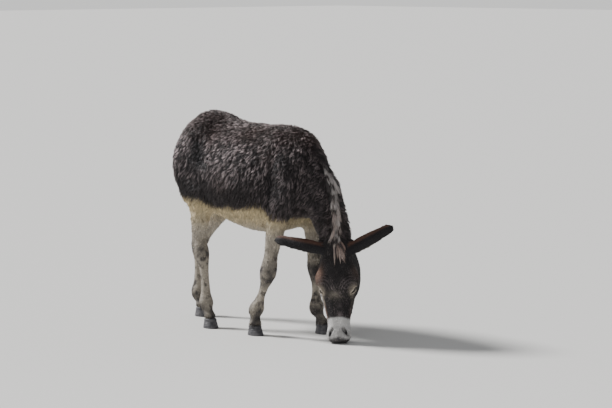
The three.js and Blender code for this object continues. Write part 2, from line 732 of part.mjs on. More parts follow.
/** A hanging length of hair: rings round a row of stations {at, side, tall, wide}. */
function tube(stations, steps, around = 8) {
  const flat = stations.map((s) => ({
    x: s.at.x, y: s.at.y, z: s.at.z, sx: s.side.x, sy: s.side.y, sz: s.side.z,
    top: s.tall, bottom: s.tall, wide: s.wide,
  }));
  const fine = smoothStations(flat, steps);
  const at = (i) => V([fine[i].x, fine[i].y, fine[i].z]);
  const rings = fine.map((s, i) => {
    const along = at(Math.min(i + 1, fine.length - 1)).sub(at(Math.max(i - 1, 0))).normalize();
    const side = V([s.sx, s.sy, s.sz]);
    side.addScaledVector(along, -side.dot(along)).normalize();
    const up = new THREE.Vector3().crossVectors(along, side);
    return [...Array(around).keys()].map((k) => {
      const angle = (2 * Math.PI * (k + 0.5)) / around;
      const out = side.clone().multiplyScalar(Math.cos(angle) * s.wide);
      return out.addScaledVector(up, Math.sin(angle) * s.top).add(at(i));
    });
  });
  return loft(rings);
}

/** The mane: a low roll of hair along the crest from the withers to the poll. */
function maneTube() {
  const stations = NECK.slice(1).map((s, i) => {
    const face = heading(s.turn, s.raise);
    const side = heading(s.turn - 90, 0);
    const grown = Math.min((i + 1) / 3, 1); // the mane rises gradually from the withers
    const at = V(s.crest).addScaledVector(face, MANE.lift * grown);
    return { at, side, tall: MANE.tall * grown, wide: MANE.wide * grown };
  });
  return tube(stations, 2);
}

/** The forelock: hair that falls from the poll down the forehead. */
function forelockTube() {
  const side = new THREE.Vector3(0, 1, 0).applyQuaternion(HEAD_TURN);
  const stations = FORELOCK.map(({ a, l, f, wide, tall }) => ({ at: onHead(a, l, f), side, tall, wide }));
  return tube(stations, 2);
}

/** The tail: dock and tassel in one length. */
function tailTube() {
  return tube(TAIL.map((s) => ({ at: V(s.at), side: LATERAL, tall: s.half, wide: s.half })), 1);
}

// ---------------------------------------------------------------- the animal, part by part
const cube = (edge) => [edge, edge, edge];
const trunkFlesh = surface(flesh, TRUNK_BOX.low, TRUNK_BOX.high, cube(TRUNK_CELL));
const headFlesh = surface(flesh, HEAD_BOX.low, HEAD_BOX.high, cube(HEAD_CELL), HEAD_FRAME);
let trunkLeft = trunkFlesh.solid;

for (const [name, leg] of Object.entries(LEGS)) {
  trunkLeft = trunkLeft.subtract(legRoom(name, leg, -CUT_GAP / 2));
  let rest = legFlesh(name, leg);
  LEG_PARTS.forEach((partName, i) => {
    let piece = rest;
    if (i < LEG_PARTS.length - 1) {
      const cut = onLeg(leg, LEG_CUTS[i + 1]);
      [piece, rest] = part(rest, cut.at, cut.way);
    }
    addNode("leg_" + name + "_" + partName, piece, COAT.pale);
  });
  addNode("hoof_" + name, hoof(leg), COAT.horn);
}

const downFace = new THREE.Vector3(1, 0, 0).applyQuaternion(HEAD_TURN);
const forward = new THREE.Vector3(1, 0, 0);
let piece = trunkLeft.subtract(beyond(onHead(HEAD_CUT, 0, 0), downFace));
let hindquarters, barrel, forequarters, neckPiece;
[hindquarters, piece] = part(piece, V([HIP_CUT, 0, 0]), forward);
[barrel, piece] = part(piece, V([CHEST_CUT, 0, 0]), forward);
[forequarters, neckPiece] = part(piece, V(NECK_CUT.at), V(NECK_CUT.way));
addNode("hindquarters", hindquarters, COAT.dark);
addNode("barrel", barrel, COAT.dark);
addNode("forequarters", forequarters, COAT.dark);
addNode("neck", neckPiece, COAT.dark);

const upNeck = downFace.clone().negate();
const ground = box([-REACH, -REACH, -REACH], [REACH, REACH, 0]);
let headSolid = headFlesh.solid.subtract(beyond(onHead(HEAD_CUT, 0, 0), upNeck)).subtract(ground);
for (const side of [-1, 1]) {
  const at = onHead(EYE.a, side * EYE.l, EYE.f);
  headSolid = headSolid.subtract(ball(at, EYE.radius + CUT_GAP));
  addNode(side > 0 ? "eye_left" : "eye_right", ball(at, EYE.radius), COAT.eye);
}
addNode("head", headSolid, COAT.dark);
for (const [name, spec] of Object.entries(EARS))
  addNode(name, ear(spec).subtract(headFlesh.raised), COAT.dark);

const mane = maneTube().subtract(beyond(onHead(HEAD_CUT, 0, 0), downFace));
addNode("mane", mane.subtract(trunkFlesh.raised), COAT.mane);
const forelock = forelockTube().subtract(beyond(onHead(HEAD_CUT, 0, 0), upNeck));
addNode("forelock", forelock.subtract(headFlesh.raised), COAT.mane);

const tailWhole = tailTube().subtract(trunkFlesh.raised);
const [dock, tassel] = part(tailWhole, V([0, 0, TAIL_TASSEL_Z]), new THREE.Vector3(0, 0, -1));
addNode("tail_dock", dock, COAT.dark);
addNode("tail_tassel", tassel, COAT.dark);

// The origin is the middle of the model's footprint, on the floor.
const middle = new THREE.Box3().setFromObject(animal).getCenter(new THREE.Vector3());
animal.position.set(-middle.x, -middle.y, 0);
const donkey = new THREE.Group();
donkey.name = "grazing_donkey";
donkey.add(animal);

export default donkey;
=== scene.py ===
# %% [markdown]
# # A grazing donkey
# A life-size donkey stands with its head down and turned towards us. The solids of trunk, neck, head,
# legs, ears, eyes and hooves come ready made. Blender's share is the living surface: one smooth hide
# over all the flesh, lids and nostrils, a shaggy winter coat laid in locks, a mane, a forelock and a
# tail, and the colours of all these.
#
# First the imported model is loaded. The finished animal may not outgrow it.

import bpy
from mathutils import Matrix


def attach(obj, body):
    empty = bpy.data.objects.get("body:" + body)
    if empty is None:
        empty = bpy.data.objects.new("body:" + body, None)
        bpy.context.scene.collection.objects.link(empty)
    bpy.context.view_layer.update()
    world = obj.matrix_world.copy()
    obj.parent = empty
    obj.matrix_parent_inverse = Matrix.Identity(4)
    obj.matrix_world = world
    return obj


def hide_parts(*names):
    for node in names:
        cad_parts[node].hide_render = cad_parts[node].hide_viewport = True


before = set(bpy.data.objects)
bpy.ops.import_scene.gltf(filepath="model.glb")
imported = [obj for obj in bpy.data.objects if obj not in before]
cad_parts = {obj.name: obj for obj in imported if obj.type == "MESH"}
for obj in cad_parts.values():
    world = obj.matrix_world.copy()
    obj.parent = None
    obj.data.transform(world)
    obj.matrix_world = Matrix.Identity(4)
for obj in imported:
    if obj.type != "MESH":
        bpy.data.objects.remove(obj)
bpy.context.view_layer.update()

import math

import bmesh
import bpy
import numpy as np
from mathutils import Matrix, Vector, kdtree
from mathutils.bvhtree import BVHTree

# %% [markdown]
# ## Camera
# A long lens far away flattens the animal, as when one stands across a field from it. We give the
# camera one point of the withers and the place in the picture, counted in pixels, where that point
# has to land, and work the camera's own place out of it.

# %% Camera
PICTURE = (612, 408)
FOCAL_PX = 2220
SENSOR_MM = 36
AZIMUTH, RISE, DISTANCE = math.radians(46), math.radians(6), 12.0
WITHERS = Vector((0.0541, 0.165, 1.12))
WITHERS_PX = (297, 124)

back = Vector((math.sin(AZIMUTH) * math.cos(RISE), -math.cos(AZIMUTH) * math.cos(RISE), math.sin(RISE)))
right = Vector((math.cos(AZIMUTH), math.sin(AZIMUTH), 0))
up = back.cross(right)
across = (WITHERS_PX[0] - PICTURE[0] / 2) / FOCAL_PX
below = (WITHERS_PX[1] - PICTURE[1] / 2) / FOCAL_PX
camera_data = bpy.data.cameras.new("camera")
camera_data.sensor_width = SENSOR_MM
camera_data.lens = FOCAL_PX / PICTURE[0] * SENSOR_MM
camera = bpy.data.objects.new("camera", camera_data)
camera.location = WITHERS - DISTANCE * (across * right - below * up - back)
camera.rotation_mode = "QUATERNION"
camera.rotation_quaternion = Matrix((right, up, back)).transposed().to_quaternion()
bpy.context.scene.collection.objects.link(camera)
bpy.context.scene.camera = camera
print("camera at", camera.location[:])

# %% [markdown]
# ## Landmarks
# Markings, the lie of the hair and the folds of the face are all easier to place in the animal's own
# terms: so far down the face, so far to its left. The head therefore has a frame of its own, with
# `a` running down the face from the poll, `l` to the animal's left and `f` out of the forehead.

# %% Landmarks
MODEL_SHIFT = np.array((-0.24597, 0.0, 0.0))


def landmarks(*points):
    """Places given in millimetres of the animal's own frame, in metres of the scene."""
    return np.array(points) / 1000 + MODEL_SHIFT


def unit(v):
    return v / np.maximum(np.linalg.norm(v, axis=-1, keepdims=True), 1e-9)


POLL = landmarks(762, 6, 518)
HEAD_TURN, HEAD_LEAN, HEAD_ROLL = np.radians((51, 10, 2.2))
face_out = np.array((np.cos(HEAD_TURN), -np.sin(HEAD_TURN), 0.0))
face_left = np.array((np.sin(HEAD_TURN), np.cos(HEAD_TURN), 0.0))
face_down = np.array((0.0, 0.0, -1.0)) * np.cos(HEAD_LEAN) * np.cos(HEAD_ROLL)
face_down = unit(face_down + face_left * np.sin(HEAD_ROLL) + face_out * np.sin(HEAD_LEAN))
face_out = unit(face_out - face_down * face_out.dot(face_down))
face_left = np.cross(face_out, face_down)
HEAD_AXES = np.stack((face_down, face_left, face_out))


def in_head(points):
    """Points as (a, l, f) in metres of the head's frame."""
    return (points - POLL) @ HEAD_AXES.T


def in_half_head(points):
    """The same, with the right half of the head mirrored onto the left."""
    return np.abs(in_head(points) * (0, 1, 0)) + in_head(points) * (1, 0, 1)


def from_head(a, l, f):
    return POLL + np.array((a, l, f)) @ HEAD_AXES


def ear_way(rise, turn_back, side):
    """The way an ear points, given how many degrees it rises and turns back."""
    rise, turn_back = math.radians(rise), math.radians(turn_back)
    level = math.cos(rise)
    way = (-math.sin(rise), side * level * math.cos(turn_back), -level * math.sin(turn_back))
    return np.array(way) @ HEAD_AXES


EARS = {  # root and way
    "ear_right": (from_head(0.026, -0.050, -0.030), ear_way(12.5, -4, -1)),
    "ear_left": (from_head(0.036, 0.050, -0.030), ear_way(25.5, -8, 1)),
}
EAR_LENGTH = 0.284
HEAD_NODES = ("head", "eye_left", "eye_right")
print("poll at", POLL, "muzzle end at", from_head(0.514, 0, -0.08))

# %% [markdown]
# ## Hide
# The flesh is many solids that meet at thin cuts. A living hide has no seams, so copies of the
# solids are swollen by a hair's breadth until they overlap, joined, and drawn over with a fine mesh
# of small cubes: a voxel remesh. That gives one closed skin of even quads, ready to be smoothed.

# %% Hide: one closed skin
VOXEL = 0.0085
SWELL = 0.0012
BARE = ("hoof", "mane", "forelock", "tail_tassel")
flesh_nodes = [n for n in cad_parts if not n.startswith(BARE)]


def merged_copy(node, swell=0.0):
    """A bmesh of a node with its loose triangles joined up, moved out along its normals."""
    bm = bmesh.new()
    bm.from_mesh(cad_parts[node].data)
    bmesh.ops.remove_doubles(bm, verts=bm.verts, dist=1e-5)
    bm.normal_update()
    for v in bm.verts:
        v.co += v.normal * swell
    return bm


def mesh_object(name, bm):
    mesh = bpy.data.meshes.new(name)
    bm.to_mesh(mesh)
    bm.free()
    made = bpy.data.objects.new(name, mesh)
    bpy.context.scene.collection.objects.link(made)
    return made


def applied(obj):
    """The object's mesh with its modifiers applied and taken off."""
    graph = bpy.context.evaluated_depsgraph_get()
    mesh = bpy.data.meshes.new_from_object(obj.evaluated_get(graph))
    obj.modifiers.clear()
    obj.data = mesh
    return mesh


joined = bmesh.new()
node_of_face = []
for name in flesh_nodes:
    piece = merged_copy(name, SWELL)
    mesh = bpy.data.meshes.new("part")
    piece.to_mesh(mesh)
    node_of_face += [name] * len(mesh.polygons)
    joined.from_mesh(mesh)
    piece.free()
    bpy.data.meshes.remove(mesh)
nearest_flesh = BVHTree.FromBMesh(joined)
hide = mesh_object("hide", joined)
remesh = hide.modifiers.new("one skin", "REMESH")
remesh.mode = "VOXEL"
remesh.voxel_size = VOXEL
applied(hide)
print("hide:", len(hide.data.vertices), "vertices", len(hide.data.polygons), "faces")

# %% [markdown]
# The voxels leave the facets of the solids and a fine stair on top. Plain smoothing would shrink the
# slender legs, so every pull inwards is followed by a slightly stronger push outwards, which keeps
# the girth and takes out only the bumps. The trunk has larger facets than the legs and the ears, so
# it is smoothed more. An ear keeps its breadth nearly to its end, so its last part is broadened again
# and the tip rounded.

# %% Hide: smoothing without shrinking
def mesh_arrays(mesh):
    """Vertex places and edges of a mesh, as arrays."""
    places = np.zeros(len(mesh.vertices) * 3)
    mesh.vertices.foreach_get("co", places)
    edges = np.zeros(len(mesh.edges) * 2, int)
    mesh.edges.foreach_get("vertices", edges)
    return places.reshape(-1, 3), edges.reshape(-1, 2)


def neighbour_mean(values, edges):
    """For each vertex, the mean of the values of the vertices joined to it by an edge."""
    ends = np.concatenate((edges[:, 0], edges[:, 1]))
    others = np.concatenate((edges[:, 1], edges[:, 0]))
    count = np.bincount(ends, minlength=len(values))
    flat = values.reshape(len(values), -1)
    sums = [np.bincount(ends, weights=flat[others, k], minlength=len(values)) for k in range(flat.shape[1])]
    return (np.stack(sums, axis=1) / count[:, None]).reshape(values.shape)


def blurred(values, edges, rounds):
    for _ in range(rounds):
        values = neighbour_mean(values, edges)
    return values


begins = np.char.startswith


def set_places(mesh, places):
    mesh.vertices.foreach_set("co", places.ravel())
    mesh.update()


def normals_of(mesh):
    found = np.zeros(len(mesh.vertices) * 3)
    mesh.vertices.foreach_get("normal", found)
    return found.reshape(-1, 3)


def nodes_near(points, tree, names):
    """The name of the node nearest to each point."""
    return np.array([names[tree.find_nearest(Vector(p))[2]] for p in points])


places, edges = mesh_arrays(hide.data)
kind = nodes_near(places, nearest_flesh, node_of_face)
PULL, PUSH, ROUNDS = 0.6, -0.63, 34
EAR_BREADTH = ((0.55, 0.75, 0.90, 0.955, 0.985, 1.01), (1, 1.05, 1.25, 1.25, 0.95, 0.5))  # along the ear
is_leg = begins(kind, "leg")
amount = np.where(is_leg, 0.14, np.where(np.isin(kind, HEAD_NODES + ("tail_dock",)), 0.35, 1.0))
for name, (root, _) in EARS.items():  # the tips are rounded the most
    from_root = np.linalg.norm(places[kind == name] - root, axis=1)
    amount[kind == name] = np.interp(from_root, (0.21, 0.25), (0.3, 1.0))
amount = blurred(amount, edges, 12)[:, None]
for step in [PULL, PUSH] * ROUNDS:
    places = places + step * amount * (neighbour_mean(places, edges) - places)
for name, (root, way) in EARS.items():
    ear = places[kind == name] - root
    along = (ear @ way)[:, None]
    broader = np.interp(along / EAR_LENGTH, *EAR_BREADTH)
    places[kind == name] = root + way * along + (ear - way * along) * broader
set_places(hide.data, places)
print("smoothed:", len(places), "vertices, box", places.min(0), places.max(0))

# %% [markdown]
# ## Depth of the coat
# The solids reach out to the tips of the coat, so the hide has to lie inside them by as much as the
# coat is deep: more than a centimetre on back and flanks, a few millimetres on the shins, and next
# to nothing on muzzle and eyelids. The depth is blurred over the skin so that it nowhere makes a
# step.

# %% Depth of the coat
COAT_DEPTH = {
    "hindquarters": 0.012, "barrel": 0.014, "forequarters": 0.013, "neck": 0.012, "head": 0.0045,
    "ear": 0.0025, "eye": 0.0, "tail_dock": 0.008,
    "upper": 0.009, "joint": 0.005, "cannon": 0.0035, "pastern": 0.0045,
}
EYE = np.array((0.236, 0.074, -0.026))  # in the head's frame, on its left
EYE_AT = {"eye_left": from_head(*EYE), "eye_right": from_head(*(EYE * (1, -1, 1)))}
EYE_RADIUS = 0.021
MUZZLE = from_head(0.49, 0, -0.075)

mesh = hide.data
depth_of = {n: next(depth for word, depth in COAT_DEPTH.items() if word in n) for n in flesh_nodes}
depth = np.array([depth_of[n] for n in kind])
for eye_at in EYE_AT.values():
    depth *= np.clip((np.linalg.norm(places - eye_at, axis=1) - 0.02) / 0.04, 0, 1)
depth *= np.clip((np.linalg.norm(places - MUZZLE, axis=1) - 0.05) / 0.12, 0.15, 1)
depth = blurred(depth, edges, 14)
places = places - normals_of(mesh) * depth[:, None]
set_places(mesh, places)
print("coat depth: %.1f to %.1f mm" % (depth.min() * 1000, depth.max() * 1000))

# %% [markdown]
# ## Hollows of the trunk
# Even a thick coat follows the body: it sinks in the hollow before the hip, behind the shoulder
# blade and between the muscles of the haunch, and folds where the lowered neck meets the shoulder.
# Each hollow is a path on the side of the body, pressed in softly on both sides.

# %% Hollows of the trunk
LONG_HAIR = ("hindquarters", "barrel", "forequarters", "neck", "tail_dock")
TRUNK_FORMS = (  # path in x and z, reach, push: in metres
    (((-0.365, 1.035), (-0.345, 0.985), (-0.325, 0.935)), 0.050, -0.014),
    (((-0.41, 1.075), (-0.36, 1.095)), 0.040, 0.007),
    (((0.215, 1.02), (0.200, 0.90), (0.190, 0.76), (0.150, 0.69)), 0.030, -0.010),
    (((-0.44, 0.95), (-0.42, 0.84), (-0.37, 0.75)), 0.034, -0.007),
    (((-0.52, 0.93), (-0.53, 0.82), (-0.49, 0.72)), 0.034, 0.006),
    (((0.33, 0.96), (0.30, 0.82), (0.25, 0.72)), 0.032, 0.007),
    (((0.40, 0.93), (0.36, 0.80), (0.31, 0.70)), 0.026, -0.008),
    (((0.455, 0.86), (0.425, 0.76), (0.40, 0.66)), 0.020, 0.005),
    (((0.47, 0.78), (0.455, 0.68), (0.46, 0.58)), 0.016, -0.006),
)


def distance_to_path(points, path):
    """Distance of each point from a path of straight stretches."""
    nearest = np.full(len(points), 9.0)
    for start, end in zip(path[:-1], path[1:]):
        along = end - start
        share = np.clip((points - start) @ along / max(along @ along, 1e-12), 0, 1)
        nearest = np.minimum(nearest, np.linalg.norm(points - start - share[:, None] * along, axis=1))
    return nearest


def fade(distance, reach):
    """1 at no distance, and next to nothing at twice the reach."""
    return np.exp(-((distance / reach) ** 2))


def smooth_step(value, low, high):
    t = np.clip((value - low) / (high - low), 0, 1)
    return t * t * (3 - 2 * t)


places, edges = mesh_arrays(mesh)
sidelong = places * (1, 0, 1)
push = np.zeros(len(places))
for path, reach, out in TRUNK_FORMS:
    gap = distance_to_path(sidelong, np.array([(x, 0, z) for x, z in path]))
    push += out * fade(gap, reach)
push *= smooth_step(np.abs(places[:, 1]), 0.03, 0.09) * np.isin(kind, LONG_HAIR)
set_places(mesh, places + normals_of(mesh) * push[:, None])
print("trunk forms:", len(TRUNK_FORMS))

# %% [markdown]
# ## Joints of the legs
# Under short hair the bones show: a knee broader than the cannon bone below it, round fetlocks, a
# narrow pastern and the flare of the coronet over the hoof. Each is a soft push outwards or inwards
# about one point of the leg, so one list of points and one of pushes shape all four legs.

# %% Joints of the legs
LEG_POINTS = {  # knee or hock, cannon bone, back of the fetlock, pastern, coronet
    "fore_right": ((386, -130, 340), (337, -131, 225), (290, -132, 132), (289, -135, 92), (290, -136, 58)),
    "fore_left": ((462, 148, 350), (458, 157, 230), (452, 163, 132), (484, 162, 92), (502, 160, 58)),
    "hind_right": ((-130, -148, 412), (-100, -148, 250), (-96, -149, 128), (-73, -149, 90), (-62, -148, 58)),
    "hind_left": ((-436, 108, 412), (-438, 101, 250), (-446, 98, 128), (-419, 97, 90), (-407, 96, 58)),
}
LEG_PUSH = (  # push, reach, how much height counts beside breadth
    (0.007, 0.046, (0.8, 0.8, 1)), (-0.003, 0.060, (1, 1, 0.5)), (0.011, 0.032, (0.8, 0.8, 1)),
    (-0.010, 0.022, (0.8, 0.8, 1)), (0.009, 0.020, (0.8, 0.8, 1)),
)
CORE = 0.02  # the push is full within this distance of the point

places, edges = mesh_arrays(mesh)
push = np.zeros(len(places))
for points in LEG_POINTS.values():
    for point, (out, reach, stretch) in zip(landmarks(*points), LEG_PUSH):
        off = np.linalg.norm((places - point) * stretch, axis=1)
        push += out * fade((off - CORE).clip(0), reach)
set_places(mesh, places + normals_of(mesh) * (push * is_leg)[:, None])
print("leg joints:", len(LEG_POINTS) * len(LEG_PUSH))

# %% [markdown]
# ## Finer skin on the face
# The face carries the smallest forms, so its faces are divided once more, and those round the eyes,
# the nostrils and the mouth a second time.

# %% Finer skin on the face
def refine(mesh, wanted):
    """Divides the edges between vertices for which wanted(points) holds."""
    bm = bmesh.new()
    bm.from_mesh(mesh)
    chosen = wanted(np.array([v.co for v in bm.verts]))
    bm.verts.index_update()
    inside = [e for e in bm.edges if chosen[e.verts[0].index] and chosen[e.verts[1].index]]
    bmesh.ops.subdivide_edges(bm, edges=inside, cuts=1, use_grid_fill=True, smooth=0.4)
    bmesh.ops.triangulate(bm, faces=[f for f in bm.faces if len(f.verts) > 4])
    bm.to_mesh(mesh)
    bm.free()
    mesh.update()


def on_face(points):
    a, l, f = in_head(points).T
    return (a > 0.09) & (np.abs(l) < 0.13) & (f > -0.20) & (f < 0.08)


def on_fine_face(points):
    a, _, f = in_head(points).T
    by_eye = np.linalg.norm(in_half_head(points) - EYE - (0, 0.02, 0), axis=1) < 0.05
    by_mouth = (a > 0.43) & (f > -0.13)
    return on_face(points) & (by_eye | by_mouth)


refine(hide.data, on_face)
refine(hide.data, on_fine_face)
print("hide:", len(hide.data.vertices), "vertices", len(hide.data.polygons), "faces")

# %% [markdown]
# ## Modelling the face
# The forms of the face are drawn in the head's own frame, on one side, and used on both. Each is a
# path with a width and a height: a ridge pushes the skin out along it, a groove draws it in. So one
# short list holds brows, eye hollows, cheek bones, nostrils, lips and the wrinkles over the eyes.

# %% Modelling the face
def millimetres(*points):
    return np.array(points, float) / 1000


FACE_FORMS = {
    # name: (path in a, l, f; width; height) all in millimetres
    "hollow over the eye": (((158, 60, 8), (186, 66, 0)), 20, -8),
    "brow arch": (((196, 62, 8), (216, 80, -12), (240, 88, -22)), 11, 4),
    "cheek bone": (((262, 74, -62), (300, 68, -74), (352, 60, -78)), 12, 4),
    "tear hollow": (((268, 66, -40), (300, 60, -44)), 12, -4),
    "edge of the nose bone": (((255, 36, 14), (330, 30, 0), (420, 24, -10)), 9, 2.5),
    "side of the nose": (((290, 54, -20), (360, 48, -32), (420, 44, -34)), 14, -4),
    "nostril wall": (((440, 20, -12), (468, 26, -18), (496, 26, -34)), 8, 4),
    "nostril": (((442, 30, -15), (454, 38, -19), (474, 43, -29), (494, 38, -44)), 7, -18),
    "nostril wing": (((450, 52, -34), (474, 58, -46), (494, 50, -58)), 8, 4),
    "mouth": (((434, 56, -104), (468, 50, -102), (494, 40, -97), (508, 20, -92), (512, 0, -90)), 4.5, -7),
    "wrinkle over the eye 1": (((186, 106, -20), (178, 88, -4), (184, 66, 6), (204, 50, 8)), 4.5, -4.5),
    "wrinkle over the eye 2": (((172, 106, -18), (164, 86, 0), (171, 60, 10), (196, 40, 12)), 4.5, -4.5),
    "wrinkle over the eye 3": (((158, 104, -12), (150, 82, 6), (158, 54, 14), (186, 30, 16)), 4.5, -3.8),
    "upper lip": (((462, 46, -86), (490, 36, -82), (508, 16, -78), (511, 0, -77)), 10, 3),
    "jaw edge": (((60, 62, -205), (140, 70, -212), (215, 62, -188)), 14, 3),
    "cheek hollow": (((262, 64, -130), (330, 58, -120), (390, 54, -110)), 18, -5),
}

places, edges = mesh_arrays(hide.data)
local = in_head(places)
push = np.zeros(len(places))
for path, width, height in FACE_FORMS.values():
    for side in (-1, 1):
        gap = distance_to_path(local, millimetres(*path) * (1, side, 1))
        share = fade(gap, width / 1000)
        if abs(path[-1][1]) < 1:  # a path that ends in the middle: each half keeps to its side
            share *= np.clip(0.5 + side * local[:, 1] / 0.004, 0, 1)
        push += height / 1000 * share
places = places + normals_of(hide.data) * push[:, None]
print("face forms:", len(FACE_FORMS))

# %% [markdown]
# ## Eyelids
# A grazing donkey looks down, and its lids are nearly shut. The skin over the eyeball is set to a
# lid's thickness above the ball, except inside a narrow almond, where it drops below the ball's
# surface so that the wet eye shows. The rim of each lid stands up a little, and three wrinkles follow
# the upper one.

# %% Eyelids
LID_AXIS = unit(np.array((0.80, -0.42, 0.43)))  # the eye's long axis: towards its front corner
LID_HALF_LENGTH, LID_HALF_OPENING, LID_DROP = 0.0230, 0.0060, 0.0030
LID_THICKNESS = 0.0028
LOOK = unit(np.array((0.05, 0.74, 0.67)))  # the way the eye looks
TO_POLL = unit(np.cross(LID_AXIS, LOOK))
TO_POLL *= np.sign(-TO_POLL[0])
SLIT_WAY = np.cross(LOOK, TO_POLL)
SLIT_WAY *= np.sign(SLIT_WAY[0])
WRINKLES = ((0.016, 0.0016), (0.022, 0.0022), (0.029, 0.0026))  # distance from the slit, depth


def past_almond(u, v):
    """How far outside the almond between the lids a point is, along (u) and across (v) the slit."""
    return np.abs(v) - LID_HALF_OPENING * np.clip(1 - (u / LID_HALF_LENGTH) ** 2, 0, 1)


def lidded(points, side):
    """The points near one eye, drawn to the lids' thickness above the ball, or below it in the slit."""
    local = in_head(points) * (1, side, 1) - EYE
    radius = np.linalg.norm(local, axis=1)
    facing = local @ LOOK / np.maximum(radius, 1e-6)
    u, v = local @ SLIT_WAY, local @ TO_POLL + LID_DROP
    over_ball = np.clip((facing - 0.25) / 0.35, 0, 1) * np.clip((0.040 - radius) / 0.012, 0, 1)
    gap = past_almond(u, v)
    target = EYE_RADIUS + LID_THICKNESS * np.clip(gap / 0.0016, -2.2, 1)
    target += 0.0012 * fade(gap - 0.0035, 0.002)  # the rim
    for distance, deep in WRINKLES:
        bend = distance - 0.35 * u**2 / LID_HALF_LENGTH
        target -= deep * fade(v - bend, 0.0022) * (v > 0)
    wanted = local * (target / np.maximum(radius, 1e-6))[:, None]
    moved = local + (wanted - local) * over_ball[:, None]
    return POLL + ((moved + EYE) * (1, side, 1)) @ HEAD_AXES


def past_slit(points):
    """How far each point of the skin lies outside the slit of its eye; below 0 inside it."""
    local = in_half_head(points) - EYE
    u, v = local @ LID_AXIS, local @ TO_POLL + LID_DROP
    return past_almond(u, v) + np.clip(np.abs(u) - LID_HALF_LENGTH, 0, 1)


for side in (-1, 1):
    places = lidded(places, side)
places[:, 2] = np.maximum(places[:, 2], 0)  # the muzzle rests on the ground
set_places(hide.data, places)

eyeballs = []
for name, eye_at in EYE_AT.items():
    bm = bmesh.new()
    bmesh.ops.create_uvsphere(bm, u_segments=40, v_segments=24, radius=EYE_RADIUS)
    bmesh.ops.translate(bm, verts=bm.verts, vec=eye_at)
    ball = mesh_object("eyeball_" + name[4:], bm)
    eyeballs.append(ball)
    ball.data.shade_smooth()
    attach(ball, "root")
    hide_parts(name)
    print(ball.name, "replaces", name)
hide.data.shade_smooth()

# %% [markdown]
# ## An unwrap of the hide
# A bake of the materials needs a place of its own on a square for every face. The hide is
# unwrapped by its own shape. Each tuft of hair later takes a small patch at its root's place, so
# that a bake gives it the colour that grows there.

# %% An unwrap of the hide
BAKE_UV = "OFBake"
hide.data.uv_layers.new(name=BAKE_UV)
bpy.context.view_layer.objects.active = hide
bpy.ops.object.mode_set(mode="EDIT")
bpy.ops.mesh.select_all(action="SELECT")
bpy.ops.uv.smart_project(angle_limit=math.radians(66), island_margin=0.001)
bpy.ops.object.mode_set(mode="OBJECT")
print("unwrapped", hide.name)

# %% [markdown]
# ## Chance that repeats
# Hair needs irregularity, but the donkey must come out the same each time. All random numbers come
# from one seeded generator, and a soft noise, worked out from a place alone, gives patches and waves
# that neighbouring hairs share.

# %% Chance that repeats
chance = np.random.default_rng(1407)


def soft_noise(points, cell, seed):
    """Smooth noise between about -1 and 1, with one random value at each corner of a grid."""
    q = points / cell + seed * 17.31
    low = np.floor(q).astype(np.int64)
    part = q - low
    part = part * part * (3 - 2 * part)
    total = np.zeros(len(points))
    for corner in range(8):
        step = np.array((corner & 1, corner >> 1 & 1, corner >> 2 & 1))
        mixed = (low + step) @ np.array((73856093, 19349663, 83492791)) + seed * 40503
        mixed = ((mixed ^ (mixed >> 13)) * 1274126177) & 0x7FFFFFFF
        value = ((mixed ^ (mixed >> 16)) & 0xFFFF) / 32767.5 - 1
        total += np.prod(np.where(step, part, 1 - part), axis=1) * value
    return total


def patch(points, centre, size):
    """A soft spot: 1 at its centre, fading to 0 at about twice its size."""
    return np.exp(-(((points - centre) / size) ** 2).sum(axis=1))


print("a first random number:", chance.random())

# %% [markdown]
# ## Markings
# A dark donkey is pale underneath: belly, inner thighs and shins are cream, the muzzle is white, and
# the eyes have a pale surround. Knees, fetlocks and pasterns are smudged dark. All of this is a
# function of place, used for the hide and for each lock of hair, so that the two always agree. Body,
# face and ears each have a list of tints, laid one over the other.

# %% Markings
UMBER = np.array((0.036, 0.029, 0.030))
BLACKISH = np.array((0.012, 0.010, 0.012))
# a pale pinkish grey: sun-bleached hair, and the painted highlight of glinting hair
BLEACH_AND_GLINT_GREY = np.array((0.37, 0.305, 0.305))
RUST = np.array((0.120, 0.060, 0.042))
FOX = np.array((0.54, 0.34, 0.26))
CREAM = np.array((0.63, 0.51, 0.30))
SHIN = np.array((0.53, 0.47, 0.385))
SMUDGE = np.array((0.060, 0.052, 0.050))
WHITE = np.array((0.83, 0.81, 0.79))
LIP = np.array((0.040, 0.037, 0.040))
PALE_LINE = ((-0.60, 0.735), (-0.45, 0.715), (-0.33, 0.705), (-0.28, 0.685), (0.05, 0.698), (0.14, 0.700),
             (0.19, 0.655), (0.27, 0.645), (0.34, 0.610), (0.45, 0.570))


def mix(a, b, share):
    return a + (b - a) * np.asarray(share)[:, None]


def laid_over(base, *tints):
    """A base colour with tints laid over it in turn, each by its share at every point."""
    for tint, share in tints:
        base = mix(base, tint, share)
    return base


print("colours of the coat: umber", UMBER, "cream", CREAM)

# %% [markdown]
# ## Markings of the body
# The flanks are umber, with painted shade, near black, in the hollow before the hip and in the grooves
# at the shoulder. Below a wavy line the animal is pale. The legs are mottled, and darker on knees,
# hocks and feet and down their hind side.

# %% Markings of the body
NEVER_PALE = ("neck", "tail_dock", *HEAD_NODES, *EARS)


def painted_hollow_shade(points):
    """Painted shade in the hollow before the hip and the grooves at the shoulder, most on the right."""
    flat = points * (1, 0, 1)
    hip = patch(flat, np.array((-0.350, 0, 0.985)), np.array((0.072, 1, 0.115)))
    groove = patch(flat, np.array((0.195, 0, 0.80)), np.array((0.026, 1, 0.16)))
    fold = patch(flat, np.array((0.455, 0, 0.68)), np.array((0.022, 1, 0.13)))
    ragged = (1 + 0.6 * soft_noise(points, 0.03, 14)) * np.where(points[:, 1] < 0, 1, 0.6)
    on_side = np.abs(points[:, 1]) > 0.08
    return np.clip((1.25 * hip + 0.75 * groove + 0.6 * fold) * ragged, 0, 1) * on_side


